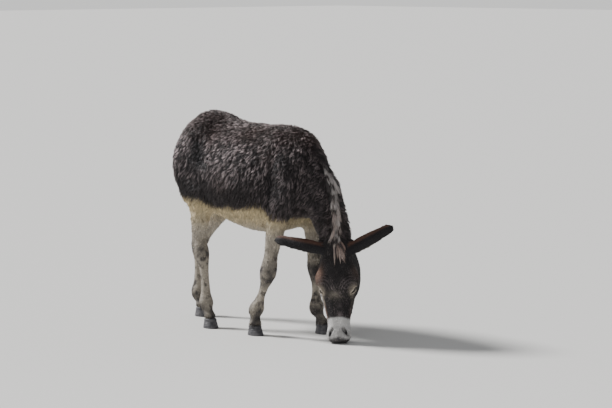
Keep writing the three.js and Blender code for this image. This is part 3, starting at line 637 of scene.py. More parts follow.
def ahead_of_leg(points, kind):
    """How far each point of a leg lies in front of the leg's middle line."""
    ahead = np.zeros(len(points))
    for name, path in LEG_POINTS.items():
        on_leg = begins(kind, "leg_" + name)
        line = landmarks(*path)[::-1]
        ahead[on_leg] = points[on_leg, 0] - np.interp(points[on_leg, 2], line[:, 2], line[:, 0])
    return ahead


def body_colour(points, kind, wavy, shade):
    x, _, z = points.T
    is_fore = x > -0.1
    russet = 0.30 * smooth_step(soft_noise(points, 0.16, 3), 0.0, 0.9) + 0.30 * smooth_step(z, 0.98, 1.08)
    mottle = smooth_step(soft_noise(points, 0.020, 4) + 0.6 * soft_noise(points, 0.009, 5), -0.1, 0.8)
    knee = smooth_step(z, 0.24, 0.31) * (1 - smooth_step(z, 0.34, 0.43)) * is_fore
    foot = 1 - smooth_step(z, 0.12, 0.18)
    hock = patch(points * (0, 0, 1), np.array((0, 0, 0.42)), np.array((1, 1, 0.05))) * ~is_fore * 0.4
    behind = smooth_step(-ahead_of_leg(points, kind), 0.0, 0.02) * 0.35 * (z < 0.55)
    shaded = np.clip((0.88 * knee + 0.80 * foot + hock + behind) * (0.85 + 0.7 * shade), 0, 1)
    forearm = is_fore & (z < 0.70) & (np.abs(z - 0.54) < 0.16)
    cloudy = smooth_step(soft_noise(points, 0.035, 15), -0.5, 0.7)
    under = laid_over(
        CREAM,
        (SHIN, smooth_step(-z, -0.66, -0.52)),
        (SMUDGE, 0.92 * mottle * smooth_step(-z, -0.54, -0.38)),
        (SMUDGE, shaded),
        (SMUDGE, 0.24 * forearm * cloudy * begins(kind, "leg")),
    )
    line = np.interp(x, *zip(*PALE_LINE)) + 0.014 * wavy
    pale = 1 - smooth_step(z, line - 0.024, line + 0.024)
    pale = np.where(np.isin(kind, NEVER_PALE), 0, pale)
    # over the umber: russet, near black as painted shade in the hollows, and pale below the line
    return laid_over(UMBER, (RUST * 0.9, russet), (BLACKISH, 0.9 * painted_hollow_shade(points)), (under, pale))


print("share of black in the darkest hollow: %.2f" % painted_hollow_shade(places).max())

# %% [markdown]
# ## Markings of the face
# The face is the darkest part, and it carries the finest marks: a rusty brow and combed arcs above
# each eye, a pale surround with a dark rim of lid, a painted highlight, pale above and over rusty hair
# below, down the cheekbone, a dim star and bridge, and a white muzzle with grey lips and nostrils
# darkened by painted shade. Brow and cheek highlight are painted full on the face's right, faint on its left.

# %% Markings of the face
# path of the painted highlight down the cheekbone, in millimetres
CHEEK_HIGHLIGHT_PATH = ((228, 90, -28), (272, 77, -36), (350, 62, -46), (384, 58, -52))
MUZZLE_FROM = 0.385  # how far down the face the white begins


def face_colour(points, wavy, shade):
    half = in_half_head(points)
    to_left = in_head(points)[:, 1]
    a, l, f = half.T
    painted_sunlit_side = np.where(to_left < 0, 1.0, 0.15)  # painted light: brow and cheek strip full on the face's right, faint on its shaded left
    brow = patch(half, np.array((0.15, 0.098, -0.015)), np.array((0.046, 0.021, 0.04)))
    from_eye = np.linalg.norm(half - EYE, axis=1)
    arcs = fade(from_eye - 0.060, 0.024) * (a < 0.235) * (l < 0.10) * (f > -0.04)
    rings = np.cos(2 * np.pi * (from_eye + 0.002 * shade) / 0.0125)
    off = (half - EYE - (0.004, 0.014, 0.014)) / (1.3, 1, 1)
    surround = np.exp(-((np.linalg.norm(off, axis=1) / 0.030) ** 4))
    slit = past_slit(points)
    rim = fade(slit - 0.0050, 0.0030) * surround
    bare_lid = (from_eye < 0.034) * fade(np.maximum(slit, 0), 0.0022)
    strip = distance_to_path(half, millimetres(*CHEEK_HIGHLIGHT_PATH))
    # painted highlight down the cheekbone: pale and bluish above, over rusty hair below
    pale_cheek_highlight = fade(strip, 0.012) * (1 - smooth_step(a, 0.27, 0.36))
    rusty_cheek_highlight = fade(strip, 0.010) * smooth_step(a, 0.28, 0.33)
    star = np.exp(-(((a - 0.262) / 0.022) ** 2 + ((to_left + 0.010) / 0.036) ** 2)) * (f > -0.03)
    bridge = fade(to_left - 0.012, 0.013) * smooth_step(a, 0.29, 0.33)
    bridge = bridge * (1 - smooth_step(a, 0.36, 0.39)) * (f > -0.05)
    throat = smooth_step(-f + 0.012 * wavy, 0.13, 0.23) * (1 - smooth_step(a, 0.27, 0.36))
    muzzle = smooth_step(a - 0.16 * l + 0.004 * wavy, 0.370, 0.383)
    dapple = smooth_step(soft_noise(points, 0.012, 10) + 0.6 * wavy, -0.2, 0.9)
    chin = smooth_step(-f, 0.098, 0.125) * muzzle * 0.5
    lips = np.clip(smooth_step(a - 0.25 * l, 0.468, 0.492) + chin, 0, 1)
    to_nostril, to_mouth = (
        distance_to_path(half, millimetres(*FACE_FORMS[name][0])) for name in ("nostril", "mouth"))
    return laid_over(
        UMBER * 0.48,
        (FOX, np.clip(1.15 * brow * (0.85 + 0.5 * wavy) * painted_sunlit_side, 0, 0.9)),
        (BLEACH_AND_GLINT_GREY * 0.9, 0.60 * arcs * np.clip(rings * 1.5, 0, 1) * (0.7 + 0.6 * wavy)),
        (SHIN * (1.0, 0.97, 0.95), 0.62 * surround * (0.85 + 0.4 * wavy)),
        (SHIN * (1.55, 1.50, 1.45), 0.80 * rim),
        (BLACKISH, 0.95 * bare_lid),
        (CREAM * (1.1, 1.2, 1.7), 0.92 * pale_cheek_highlight * painted_sunlit_side),
        (FOX, 0.75 * rusty_cheek_highlight * painted_sunlit_side),
        (SHIN * 0.9, 0.62 * star * (0.6 + 0.9 * wavy)),
        (BLEACH_AND_GLINT_GREY, 0.55 * bridge * (0.6 + 0.9 * shade)),
        (BLEACH_AND_GLINT_GREY * 0.7, 0.40 * throat * (0.8 + 0.5 * shade)),
        (WHITE, muzzle),
        (LIP, 0.45 * muzzle * dapple * smooth_step(a - 0.2 * l, 0.41, 0.455)),
        (LIP, 0.92 * lips),
        # nostrils: dark skin, deepened by painted shade inside the openings
        (BLACKISH * 0.5, np.clip(1.7 * fade(to_nostril, 0.0085), 0, 1)),
        (LIP * 0.3, 0.9 * fade(to_mouth, 0.006)),
    )


print("the white muzzle begins %.3f m below the poll" % MUZZLE_FROM)

# %% [markdown]
# ## Painting the hide
# The ears are nearly black, with a rusty upper edge and a thin pale lower one. One function then asks
# body, face or ear for the colour of each point, and a second one tells how many of the hairs there
# have pale tips: partly bleached by the sun, partly painted highlight where the hair glints. The hide
# gets the colour a little darker than the hair over it.

# %% Painting the hide
EAR_HALF_WIDTH = 0.034
SKIN_DARKER = 0.55


def ear_colour(points, root, way):
    upward = unit(np.array((0, 0, 1.0)) - way * way[2])
    along = (points - root) @ way / EAR_LENGTH
    narrowing = np.clip((along - 0.70) / 0.34, 0, 1) ** 2.8
    half_width = EAR_HALF_WIDTH * np.sqrt(np.clip(1 - narrowing, 0.05, 1))
    height = (points - root) @ upward / half_width  # -1 at the ear's lower edge, 1 at its upper one
    upper_edge, lower_edge = smooth_step(height, 0.30, 0.85), smooth_step(-height, 0.80, 1.05)
    return laid_over(BLACKISH * 1.1, (RUST * 1.7, 0.85 * upper_edge), (SHIN, 0.5 * lower_edge))


def marking(points, kind):
    """The coat's darker colour at each point, given the name of the node that it belongs to."""
    wavy = soft_noise(points, 0.06, 1) * 0.6 + soft_noise(points, 0.02, 2) * 0.4
    shade = soft_noise(points, 0.03, 6)
    body, face = body_colour(points, kind, wavy, shade), face_colour(points, wavy, shade)
    colour = np.where(np.isin(kind, HEAD_NODES)[:, None], face, body)
    for name, (root, way) in EARS.items():
        colour[kind == name] = ear_colour(points[kind == name], root, way)
    return np.clip(colour, 0.004, 1)


def bleach_and_glint_share(points, kind):
    """The share of pale-tipped hairs on the dark coat: partly bleached, partly painted highlight of glints.
    """
    x, _, z = points.T
    # most pale tips on the upper flank, as painted highlight where the light falls; half as many on the back
    share = 0.010 + 0.46 * smooth_step(z, 0.77, 0.92) * (1 - 0.5 * smooth_step(z, 0.99, 1.09))
    share = np.where((x > 0.12) & (kind != "neck"), 0.17 + 0.10 * smooth_step(z, 0.8, 1.0), share)
    share = np.where(kind == "neck", 0.13, share)
    on_face = np.where(in_head(points)[:, 0] < 0.24, 0.09, 0.13)
    share = np.where(np.isin(kind, HEAD_NODES), on_face, share)
    # no pale tips in the painted shade of the hollows
    share *= 1 - painted_hollow_shade(points)
    return share * (1 + 0.5 * soft_noise(points, 0.09, 9))


def paint(mesh, colours):
    """Stores a colour for each vertex, which the materials read by the name of hue."""
    layer = mesh.color_attributes.new("hue", "FLOAT_COLOR", "POINT")
    rgba = np.ones((len(colours), 4))
    rgba[:, :3] = colours
    layer.data.foreach_set("color", rgba.ravel())


places, edges = mesh_arrays(hide.data)
kind = nodes_near(places, nearest_flesh, node_of_face)
paint(hide.data, marking(places, kind) * SKIN_DARKER)
print("painted", len(places), "vertices")

# %% [markdown]
# ## The lie of the hair
# Hair has a direction everywhere. On the trunk it runs backwards and down, on the neck from the crest
# towards the throat, on the legs down, on the face from the forelock to the muzzle and on the ears
# from the root to the tip. The direction is laid flat on the skin and blurred, so that one lie turns
# smoothly into the next.

# %% The lie of the hair
CREST = landmarks(
    (400, 0, 1100), (512, 0, 1098), (583, 0, 1056), (648, -6, 990), (694, -10, 915), (724, -14, 840),
    (750, -16, 755), (760, -12, 665), (760, -8, 600), (756, 0, 535))


def nearest_on_path(points, path):
    """For each point, the place counted in stretches along a path that is nearest to it."""
    best, where = np.full(len(points), 9.0), np.zeros(len(points))
    for i, (start, end) in enumerate(zip(path[:-1], path[1:])):
        along = end - start
        share = np.clip((points - start) @ along / (along @ along), 0, 1)
        gap = np.linalg.norm(points - start - share[:, None] * along, axis=1)
        closer = gap < best
        best[closer], where[closer] = gap[closer], i + share[closer]
    return where


def point_on_path(path, where):
    i = np.minimum(where.astype(int), len(path) - 2)
    return path[i] + (path[i + 1] - path[i]) * (where - i)[:, None]


def along_skin(ways, normals):
    """The ways, less what they point out of the skin."""
    return ways - normals * (ways * normals).sum(axis=1)[:, None]


def lie_of_hair(points, kind):
    lie = np.tile((-0.34, 0.0, -0.94), (len(points), 1))
    lie[begins(kind, "leg")] = (-0.12, 0.0, -1.0)
    lie[kind == "tail_dock"] = (-0.1, 0.1, -1.0)
    neck = points[kind == "neck"]
    crest = point_on_path(CREST, nearest_on_path(neck, CREST))
    lie[kind == "neck"] = unit(unit(neck - crest) * 0.6 + np.array((-0.25, 0, -0.75)))
    head = np.isin(kind, HEAD_NODES)  # down the face, spreading from its middle
    lie[head] = unit(in_head(points[head]) * (0, 2.2, 0) + (0.9, 0, -0.30)) @ HEAD_AXES
    for name, (root, _) in EARS.items():
        lie[kind == name] = unit(points[kind == name] - root + 1e-6)
    return lie


skin_normals = normals_of(hide.data)
lie = unit(along_skin(lie_of_hair(places, kind), skin_normals))
lie = unit(along_skin(blurred(lie, edges, 6), skin_normals))
print("mean lie of the barrel:", lie[kind == "barrel"].mean(axis=0).round(2))

# %% [markdown]
# ## One lock
# A lock of hair is a slim three-sided blade, closed at both ends: a cone pulled long, divided twice
# along its length, and widest a third of the way up. All locks are bent copies of it. Short hair on
# legs and face uses the same blade with one division less.

# %% One lock
def blade(divisions, widths):
    """Places (across, thickness, along) and triangles of a straight lock of unit length."""
    bm = bmesh.new()
    bmesh.ops.create_cone(bm, cap_ends=True, segments=3, radius1=0.5, radius2=0.0, depth=1)
    bmesh.ops.remove_doubles(bm, verts=bm.verts, dist=1e-6)
    bmesh.ops.translate(bm, verts=bm.verts, vec=(0, 0, 0.5))
    sides = [e for e in bm.edges if abs(e.verts[0].co.z - e.verts[1].co.z) > 0.5]
    bmesh.ops.subdivide_edges(bm, edges=sides, cuts=divisions)
    for v in bm.verts:
        if v.co.z < 0.999:
            ring = round(v.co.z * (divisions + 1))
            v.co.xy = v.co.xy.normalized() * 0.5 * widths[ring]
    bmesh.ops.triangulate(bm, faces=bm.faces)
    bm.verts.index_update()
    shape = np.array([v.co for v in bm.verts])
    shape[:, 2] **= 1.15
    faces = np.array([[v.index for v in f.verts] for f in bm.faces])
    bm.free()
    return shape, faces


LONG_BLADE = blade(2, (0.70, 1.0, 0.62))
SHORT_BLADE = blade(1, (0.80, 0.85))
print("triangles of a lock:", len(LONG_BLADE[1]), "and of short hair:", len(SHORT_BLADE[1]))

# %% [markdown]
# ## Planting hair
# Roots are scattered over the hide by area. Each root then gets its place, its normal, its lie and
# its patch of the unwrap from the triangle that it falls on. The bundle of roots is a small table, and
# every later step adds to it or reads from it.

# %% Planting hair
hide.data.calc_loop_triangles()
triangle_count = len(hide.data.loop_triangles)
corners = np.zeros(triangle_count * 3, int)
hide.data.loop_triangles.foreach_get("vertices", corners)
corners = corners.reshape(-1, 3)
corner_loops = np.zeros(triangle_count * 3, int)
hide.data.loop_triangles.foreach_get("loops", corner_loops)
unwrapped = np.zeros(len(hide.data.loops) * 2)
hide.data.uv_layers[BAKE_UV].data.foreach_get("uv", unwrapped)
corner_uv = unwrapped.reshape(-1, 2)[corner_loops].reshape(-1, 3, 2)
edge_a = places[corners[:, 1]] - places[corners[:, 0]]
edge_b = places[corners[:, 2]] - places[corners[:, 0]]
triangle_area = np.linalg.norm(np.cross(edge_a, edge_b), axis=1) / 2
triangle_kind = kind[corners[:, 0]]


def plant(wanted, spacing):
    """Roots on the triangles where wanted holds, about spacing apart."""
    area = triangle_area * wanted / spacing**2
    count = int(area.sum())
    picked = np.searchsorted(np.cumsum(area), chance.random(count) * area.sum())
    picked = np.minimum(picked, triangle_count - 1)
    u, v = np.sqrt(chance.random(count)), chance.random(count)
    weights = np.stack((1 - u, u * (1 - v), u * v), axis=1)

    def blend(values):
        return (values * weights[:, :, None]).sum(axis=1)

    return {
        "at": blend(places[corners[picked]]),
        "normal": unit(blend(skin_normals[corners[picked]])),
        "lie": unit(blend(lie[corners[picked]])),
        "uv": blend(corner_uv[picked]),
        "kind": triangle_kind[picked],
    }


def gathered(roots, clumps, pull):
    """Bends hair towards the middle of its clump; returns each root's number, one for each clump."""
    heads = chance.permutation(len(roots["at"]))[: max(int(len(roots["at"]) * clumps), 1)]
    tree = kdtree.KDTree(len(heads))
    for i, head in enumerate(heads):
        tree.insert(roots["at"][head], i)
    tree.balance()
    clump = np.array([tree.find(p)[1] for p in roots["at"]])
    middle = roots["at"][heads[clump]]
    roots["pull"] = (middle - roots["at"]) * pull
    return chance.random(len(heads))[clump]


print("hide area: %.2f square metres" % triangle_area.sum())

# %% [markdown]
# ## Growing hair
# At each root the blade is laid along the skin, lifted off it in an arch and bent to one side. Its
# foot sinks into the hide, and no hair goes below the ground. A whole region becomes one mesh, with
# a colour that runs from the foot of each lock to its tip.

# %% Growing hair
UV_PATCH = 0.003
SINK = 0.0015
LOWEST_HAIR = 0.0005


def grow(name, roots, length, width, thickness, rise, colours, shape=LONG_BLADE, bend=0.0):
    """One mesh of a bent, coloured lock at every root. Sizes are single numbers or one for each."""
    blade_places, blade_faces = shape
    count, corners_each = len(roots["at"]), len(blade_places)
    sizes = (length, width, thickness, rise, bend)
    length, width, thickness, rise, bend = (np.broadcast_to(v, count)[:, None] for v in sizes)
    tip = along_skin(roots["lie"] * length + roots.get("pull", 0), roots["normal"])
    length = np.linalg.norm(tip, axis=1)[:, None]
    direction = tip / length
    sideways = np.cross(roots["normal"], direction)
    across, up, along = blade_places.T
    reach = along * length
    out = up * thickness + rise * (1 - (1 - along) ** 1.8) - SINK
    off = across * width + bend * along**2 * length
    shape_places = roots["at"][:, None, :]
    for way, far in ((direction, reach), (sideways, off), (roots["normal"], out)):
        shape_places = shape_places + way[:, None, :] * far[:, :, None]
    shape_places[:, :, 2] = np.maximum(shape_places[:, :, 2], LOWEST_HAIR)
    faces = (blade_faces[None] + (np.arange(count) * corners_each)[:, None, None]).reshape(-1, 3)
    mesh = bpy.data.meshes.new(name)
    mesh.vertices.add(count * corners_each)
    mesh.vertices.foreach_set("co", shape_places.ravel())
    mesh.loops.add(len(faces) * 3)
    mesh.loops.foreach_set("vertex_index", faces.ravel())
    mesh.polygons.add(len(faces))
    mesh.polygons.foreach_set("loop_start", np.arange(len(faces)) * 3)
    mesh.update(calc_edges=True)
    mesh.shade_smooth()
    base, end = colours
    share = np.clip(along, 0, 1)[None, :, None] ** 0.9
    paint(mesh, (base[:, None, :] * (1 - share) + end[:, None, :] * share).reshape(-1, 3))
    patch_uv = roots["uv"][:, None, :] + np.stack((across, along - 0.5), 1)[None] * UV_PATCH
    layer = mesh.uv_layers.new(name=BAKE_UV)
    layer.data.foreach_set("uv", patch_uv.reshape(-1, 2)[faces.ravel()].ravel())
    made = bpy.data.objects.new(name, mesh)
    bpy.context.scene.collection.objects.link(made)
    print(name, count, "locks,", len(faces), "triangles")
    return made


print("a tuft's patch of the unwrap is", UV_PATCH, "wide")

# %% [markdown]
# ## A region of the coat
# The winter coat hangs in locks as broad as a pencil. Clumps share a tip, a tilt and a tone. Some tips
# are pale, partly bleached by the sun and partly painted highlight, and the feet of the locks are
# darker, partly painted shade between them. Long hair covers trunk and neck, and short hair covers
# legs, face and ears. A region with too much hair for one mesh is cut across into several.

# %% A region of the coat
MOST_LONG, MOST_SHORT = 11500, 18400  # locks in one piece
FLATNESS = 0.45  # a lock's thickness beside its width
CORONET = 0.084  # the height at which the hair begins to fall over the top of a hoof


def hair_length(points, kind):
    """How long the hair is at each point, beside the usual length of its region."""
    z = points[:, 2]
    size = 1.25 - 0.50 * smooth_step(z, 0.72, 1.0)
    size = np.where(kind == "neck", 0.85, size)
    size = np.where(kind == "tail_dock", 0.8, size)
    on_leg = begins(kind, "leg")
    fetlock = on_leg & (z > 0.07) & (z < 0.14) & (ahead_of_leg(points, kind) < -0.01)
    over_hoof = 1 + 2.2 * (1 - smooth_step(z, 0.064, CORONET))
    leg = np.where(on_leg & (z < CORONET), over_hoof, np.where(fetlock, 2.2, 1.0))
    return np.where(np.isin(kind, LONG_HAIR), size, leg)


def coat_colours(roots, tone):
    """The colours of the foot and of the tip of each lock."""
    colour = marking(roots["at"], roots["kind"])
    ridge = soft_noise(roots["at"] * (1, 1, 0.45), 0.013, 12)  # painted light and shade in short upright ridges: lit tufts with dark gaps
    luck = np.clip(0.42 * tone + 0.40 * chance.random(len(tone)) + 0.16 + 0.34 * ridge, 0, 1)
    pale = smooth_step(colour.mean(axis=1), 0.10, 0.3)
    share = bleach_and_glint_share(roots["at"], roots["kind"]) * (1 - pale) * ~begins(roots["kind"], "ear")
    # pale tips: partly sun-bleached hair, partly painted highlight where the hair glints
    bleach_and_glint_tips = share * smooth_step(luck, 0.32, 0.95) ** 2 * 3.8
    tip = colour * (0.22 + 1.1 * luck)[:, None] + BLEACH_AND_GLINT_GREY * bleach_and_glint_tips[:, None]
    tip = tip * (1 + pale * (0.75 * luck - 0.55))[:, None]
    # the foot of each lock darker: partly a darker root, partly painted shade between the locks
    return colour * (0.30 + 0.50 * pale)[:, None], tip


def coat_region(name, wanted, spacing, length, width, rise, clumps, pull, shape, spread):
    """Hair over the wanted triangles, cut into pieces that stay small enough."""
    roots = plant(wanted, spacing)
    count = len(roots["at"])
    tone = gathered(roots, clumps, pull)
    swirl = spread * (soft_noise(roots["at"], 0.05, 7) + 0.6 * soft_noise(roots["at"], 0.02, 8))
    swirl += 0.25 * spread * (chance.random(count) - 0.5)
    sideways = np.cross(roots["normal"], roots["lie"])
    roots["lie"] = unit(roots["lie"] + sideways * swirl[:, None])
    size = (0.75 + 0.5 * chance.random(count)) * hair_length(roots["at"], roots["kind"])
    lift = rise * (0.45 + 0.75 * tone + 0.35 * chance.random(count))
    foot, tip = coat_colours(roots, tone)
    order = np.argsort(roots["at"][:, 0])
    most = MOST_LONG if shape is LONG_BLADE else MOST_SHORT
    chunks = np.array_split(order, math.ceil(count / most))
    made = []
    for number, chunk in enumerate(chunks, 1):
        part = {key: value[chunk] for key, value in roots.items()}
        label = name if len(chunks) == 1 else "%s_%d" % (name, number)
        bend = 0.3 * (chance.random(len(chunk)) - 0.5)
        made.append(grow(label, part, length * size[chunk], width, width * FLATNESS, lift[chunk],
                         (foot[chunk], tip[chunk]), shape, bend))
    return made


print("most locks in one piece:", MOST_LONG, "long or", MOST_SHORT, "short")

# %% [markdown]
# ## The coat
# One table says where each kind of hair grows, how close, and how long, wide and raised it is. The
# finest hair is on the lids and the muzzle. The rims of the lids, the nostrils and what touches the
# ground stay bare.

# %% The coat
triangle_middle = places[corners].mean(axis=1)
is_long = np.isin(triangle_kind, LONG_HAIR)
line = np.interp(triangle_middle[:, 0], *zip(*PALE_LINE))
is_under = is_long & (triangle_middle[:, 2] < line) & ~np.isin(triangle_kind, ("neck", "tail_dock"))
is_leg = begins(triangle_kind, "leg")
is_upper = np.char.endswith(triangle_kind, "upper")
on_head = in_half_head(triangle_middle)
is_face = np.isin(triangle_kind, HEAD_NODES)
is_muzzle = is_face & (on_head[:, 0] >= MUZZLE_FROM)
by_eye = (np.linalg.norm(on_head - EYE, axis=1) < 0.033) & (on_head[:, 2] > -0.05) & (on_head[:, 1] > 0.05)
off_rim = past_slit(triangle_middle) > 0.0014
off_nostril = distance_to_path(on_head, millimetres(*FACE_FORMS["nostril"][0])) > 0.009
is_bristly = is_muzzle & off_nostril & (triangle_middle[:, 2] > 0.002)
COAT = (  # piece, where, spacing, length, width, rise, clumps for each lock, pull, blade, swirl
    ("trunk", is_long & ~is_under, 0.0057, 0.027, 0.0050, 0.010, 0.17, 0.6, LONG_BLADE, 0.5),
    ("belly", is_under, 0.0072, 0.019, 0.0044, 0.004, 0.2, 0.5, LONG_BLADE, 0.35),
    ("thighs", is_upper, 0.0056, 0.014, 0.0038, 0.0035, 0.2, 0.5, LONG_BLADE, 0.35),
    ("shins", is_leg & ~is_upper, 0.0045, 0.0085, 0.0026, 0.0022, 0.2, 0.4, SHORT_BLADE, 0.35),
    ("face", is_face & ~is_muzzle & ~by_eye, 0.0040, 0.009, 0.0026, 0.0030, 0.2, 0.4, SHORT_BLADE, 0.6),
    ("lids", is_face & by_eye & off_rim, 0.0024, 0.0048, 0.0014, 0.0018, 0.2, 0.3, SHORT_BLADE, 0.35),
    ("muzzle", is_bristly, 0.0030, 0.0065, 0.0017, 0.0022, 0.2, 0.3, SHORT_BLADE, 0.35),
    ("ears", begins(triangle_kind, "ear"), 0.0040, 0.0085, 0.0026, 0.0022, 0.2, 0.4, SHORT_BLADE, 0.35),
)
coat_pieces = [piece for name, *how in COAT for piece in coat_region("coat_" + name, *how)]
print("coat pieces:", len(coat_pieces))

# %% [markdown]
# ## Strands
# Mane, forelock and tassel are made of the same blade, long and slim, with more divisions so that it
# can hang in a curve. Strands come in locks that share their luck, and each is rooted at the nearest
# place of the hide.

# %% Strands
HAIR_BLADE = blade(4, (0.8, 1.0, 1.0, 0.85, 0.55))
ROOT_SINK = 0.002
STRAW = np.array((0.86, 0.80, 0.77))
hide_triangles = BVHTree.FromPolygons([Vector(p) for p in places], [tuple(map(int, c)) for c in corners])


def rooted(points, lies):
    """A table of roots just below the places on the hide that are nearest to the given points."""
    found = [hide_triangles.find_nearest(Vector(p)) for p in points]
    at, normal, triangle = (np.array([hit[i] for hit in found]) for i in range(3))
    return {"at": at - normal * ROOT_SINK, "normal": normal, "lie": unit(lies),
            "uv": corner_uv[triangle].mean(axis=1)}


def strand_colours(tone, dark, light):
    tips = mix(dark, light, np.clip(tone, 0, 1))
    return tips * 0.55, tips


def locks(count, per_lock):
    """The lock that each of count strands belongs to, and a random number for each lock."""
    lock = np.arange(count) // per_lock
    return lock, chance.random(lock[-1] + 1)


def shared(lock):
    """A random number for each lock, handed to all its strands."""
    return chance.random(lock[-1] + 1)[lock]


print("triangles of a strand:", len(HAIR_BLADE[1]))

# %% [markdown]
# ## The mane
# A donkey's mane is short and thin. With the neck lowered it hangs along the crest and spills over to
# the right. Its dark strands lie deeper and fall to both sides, and the pale ones lie over them.

# %% The mane
MANE_LINE = landmarks(
    (560, 0, 1076), (648, 6, 990), (688, 16, 915), (712, 22, 838), (741, 17, 755), (754, 15, 688),
    (760, 16, 620), (763, 17, 550))
MANE_END = len(MANE_LINE) - 1
MANE_START = 0.4  # counted in stretches of the line, like all places along the mane
MANE_HAIRS = 5200


def along_mane(where):
    """The place on the mane's line, its way down the neck, and the way to the animal's right."""
    before, after = where - 0.3, np.minimum(where + 0.3, MANE_END)
    way = unit(point_on_path(MANE_LINE, after) - point_on_path(MANE_LINE, before))
    right = unit(np.cross(way, np.array((0.35, 0.0, 1.0))))
    return point_on_path(MANE_LINE, where), way, right * -np.sign(right[:, 1:2])


lock, luck = locks(MANE_HAIRS, 20)
where = (MANE_START + (MANE_END - MANE_START) * np.sort(luck))[lock]
where = np.clip(where + 0.05 * chance.standard_normal(MANE_HAIRS), 0.35, MANE_END - 0.01)
mane_at, mane_way, to_right = along_mane(where)
is_dark = shared(lock) < 0.38
spread = chance.standard_normal(lock[-1] + 1)[lock] * np.where(is_dark, 0.011, 0.008)
spread = np.where(is_dark, spread, np.maximum(spread, -0.004))  # the pale ones fall to the right
spread = spread + 0.0024 * chance.standard_normal(MANE_HAIRS)
fall = 0.02 + 0.55 * shared(lock) ** 1.6 + 0.08 * chance.standard_normal(MANE_HAIRS)
mane_roots = rooted(mane_at + to_right * spread[:, None], mane_way + to_right * fall[:, None])
tone = (0.50 + 0.75 * shared(lock)) * (0.45 + 0.75 * chance.random(MANE_HAIRS))
tone = np.where(is_dark, 0.08 * tone, tone) * smooth_step(where, 0.9, 2.4)
brown = (shared(lock) * smooth_step(where, 2.5, 6.5))[:, None]
mane_light = STRAW * (1 - brown) + STRAW * (0.62, 0.42, 0.34) * brown
long_lock = shared(lock)
grown = smooth_step(where, MANE_START, 2.8)  # short at the withers
mane = grow("mane_hair", mane_roots, (0.045 + 0.060 * long_lock) * (0.40 + 0.60 * grown),
            0.0019, 0.0015, (0.011 + 0.011 * long_lock) * (0.4 + 0.6 * grown),
            strand_colours(tone, UMBER, mane_light), HAIR_BLADE, 0.35 * (shared(lock) - 0.5))

# %% [markdown]
# ## The forelock
# The last of the mane falls between the ears and over the forehead, in pale, rusty and dark locks.

# %% The forelock
FORELOCK_HAIRS = 600

lock, luck = locks(FORELOCK_HAIRS, 26)
lock_a = -0.032 + 0.040 * chance.random(FORELOCK_HAIRS)
lock_l = (0.004 + 0.052 * (luck - 0.5))[lock] + 0.0013 * chance.standard_normal(FORELOCK_HAIRS)
start = POLL + np.stack((lock_a, lock_l, np.full(FORELOCK_HAIRS, 0.01)), axis=1) @ HEAD_AXES
lean = 0.28 + 0.70 * (shared(lock) - 0.5)
lock_lie = np.stack((np.ones(FORELOCK_HAIRS), lean, np.zeros(FORELOCK_HAIRS)), 1)
forelock_roots = rooted(start, lock_lie @ HEAD_AXES)
pale_lock = shared(lock)
tone = np.where(pale_lock < 0.45, 0.06, 0.45 + 0.6 * pale_lock) * (0.6 + 0.5 * chance.random(FORELOCK_HAIRS))
rusty = shared(lock)[:, None]
forelock_light = STRAW * (0.95, 0.86, 0.82) * (1 - rusty) + STRAW * (0.62, 0.46, 0.39) * rusty
forelock = grow("forelock_hair", forelock_roots, 0.05 + 0.06 * shared(lock), 0.0019, 0.0014,
                0.010 + 0.012 * shared(lock), strand_colours(tone, UMBER, forelock_light), HAIR_BLADE)

# %% [markdown]
# ## The tassel
# The tail is a thin dock, hairy like the coat, that ends in a dark tassel. Its strands grow from the
# dock's own middle line, all the way round it.

# %% The tassel
TASSEL_HAIRS = 700
TAIL_PATH = landmarks((-444, 96, 745), (-450, 112, 690), (-464, 132, 610), (-472, 145, 540), (-476, 152, 478))
TASSEL_ON = 2.6  # the stretches of the path that bear the tassel

where = TASSEL_ON * chance.random(TASSEL_HAIRS) ** 1.3
turn = 2 * math.pi * chance.random(TASSEL_HAIRS)
around = np.stack((np.cos(turn), np.sin(turn), np.zeros(TASSEL_HAIRS)), axis=1)
core = point_on_path(TAIL_PATH, where)
tail_way = unit(point_on_path(TAIL_PATH, np.minimum(where + 0.5, 4)) - core)
girth = np.interp(where, (0, 2.0, TASSEL_ON), (0.012, 0.012, 0.006))
tassel_roots = rooted(core, tail_way)
tassel_roots["at"] = core + around * girth[:, None]
tassel_roots["normal"] = around
tassel = grow("tassel_hair", tassel_roots, 0.075 + 0.035 * chance.random(TASSEL_HAIRS), 0.0050, 0.0034,
              0.012 * chance.random(TASSEL_HAIRS),
              strand_colours(0.3 * chance.random(TASSEL_HAIRS) ** 2, BLACKISH * 1.3, STRAW), HAIR_BLADE)

# %% [markdown]
# ## Hooves
# A hoof is a short horn capsule, steeper at the heels than at the toe. The solid has the right size,
# so its mesh is only rounded: the edges of sole and coronet are creased to stay crisp, and a
# subdivision surface smooths the wall between them.

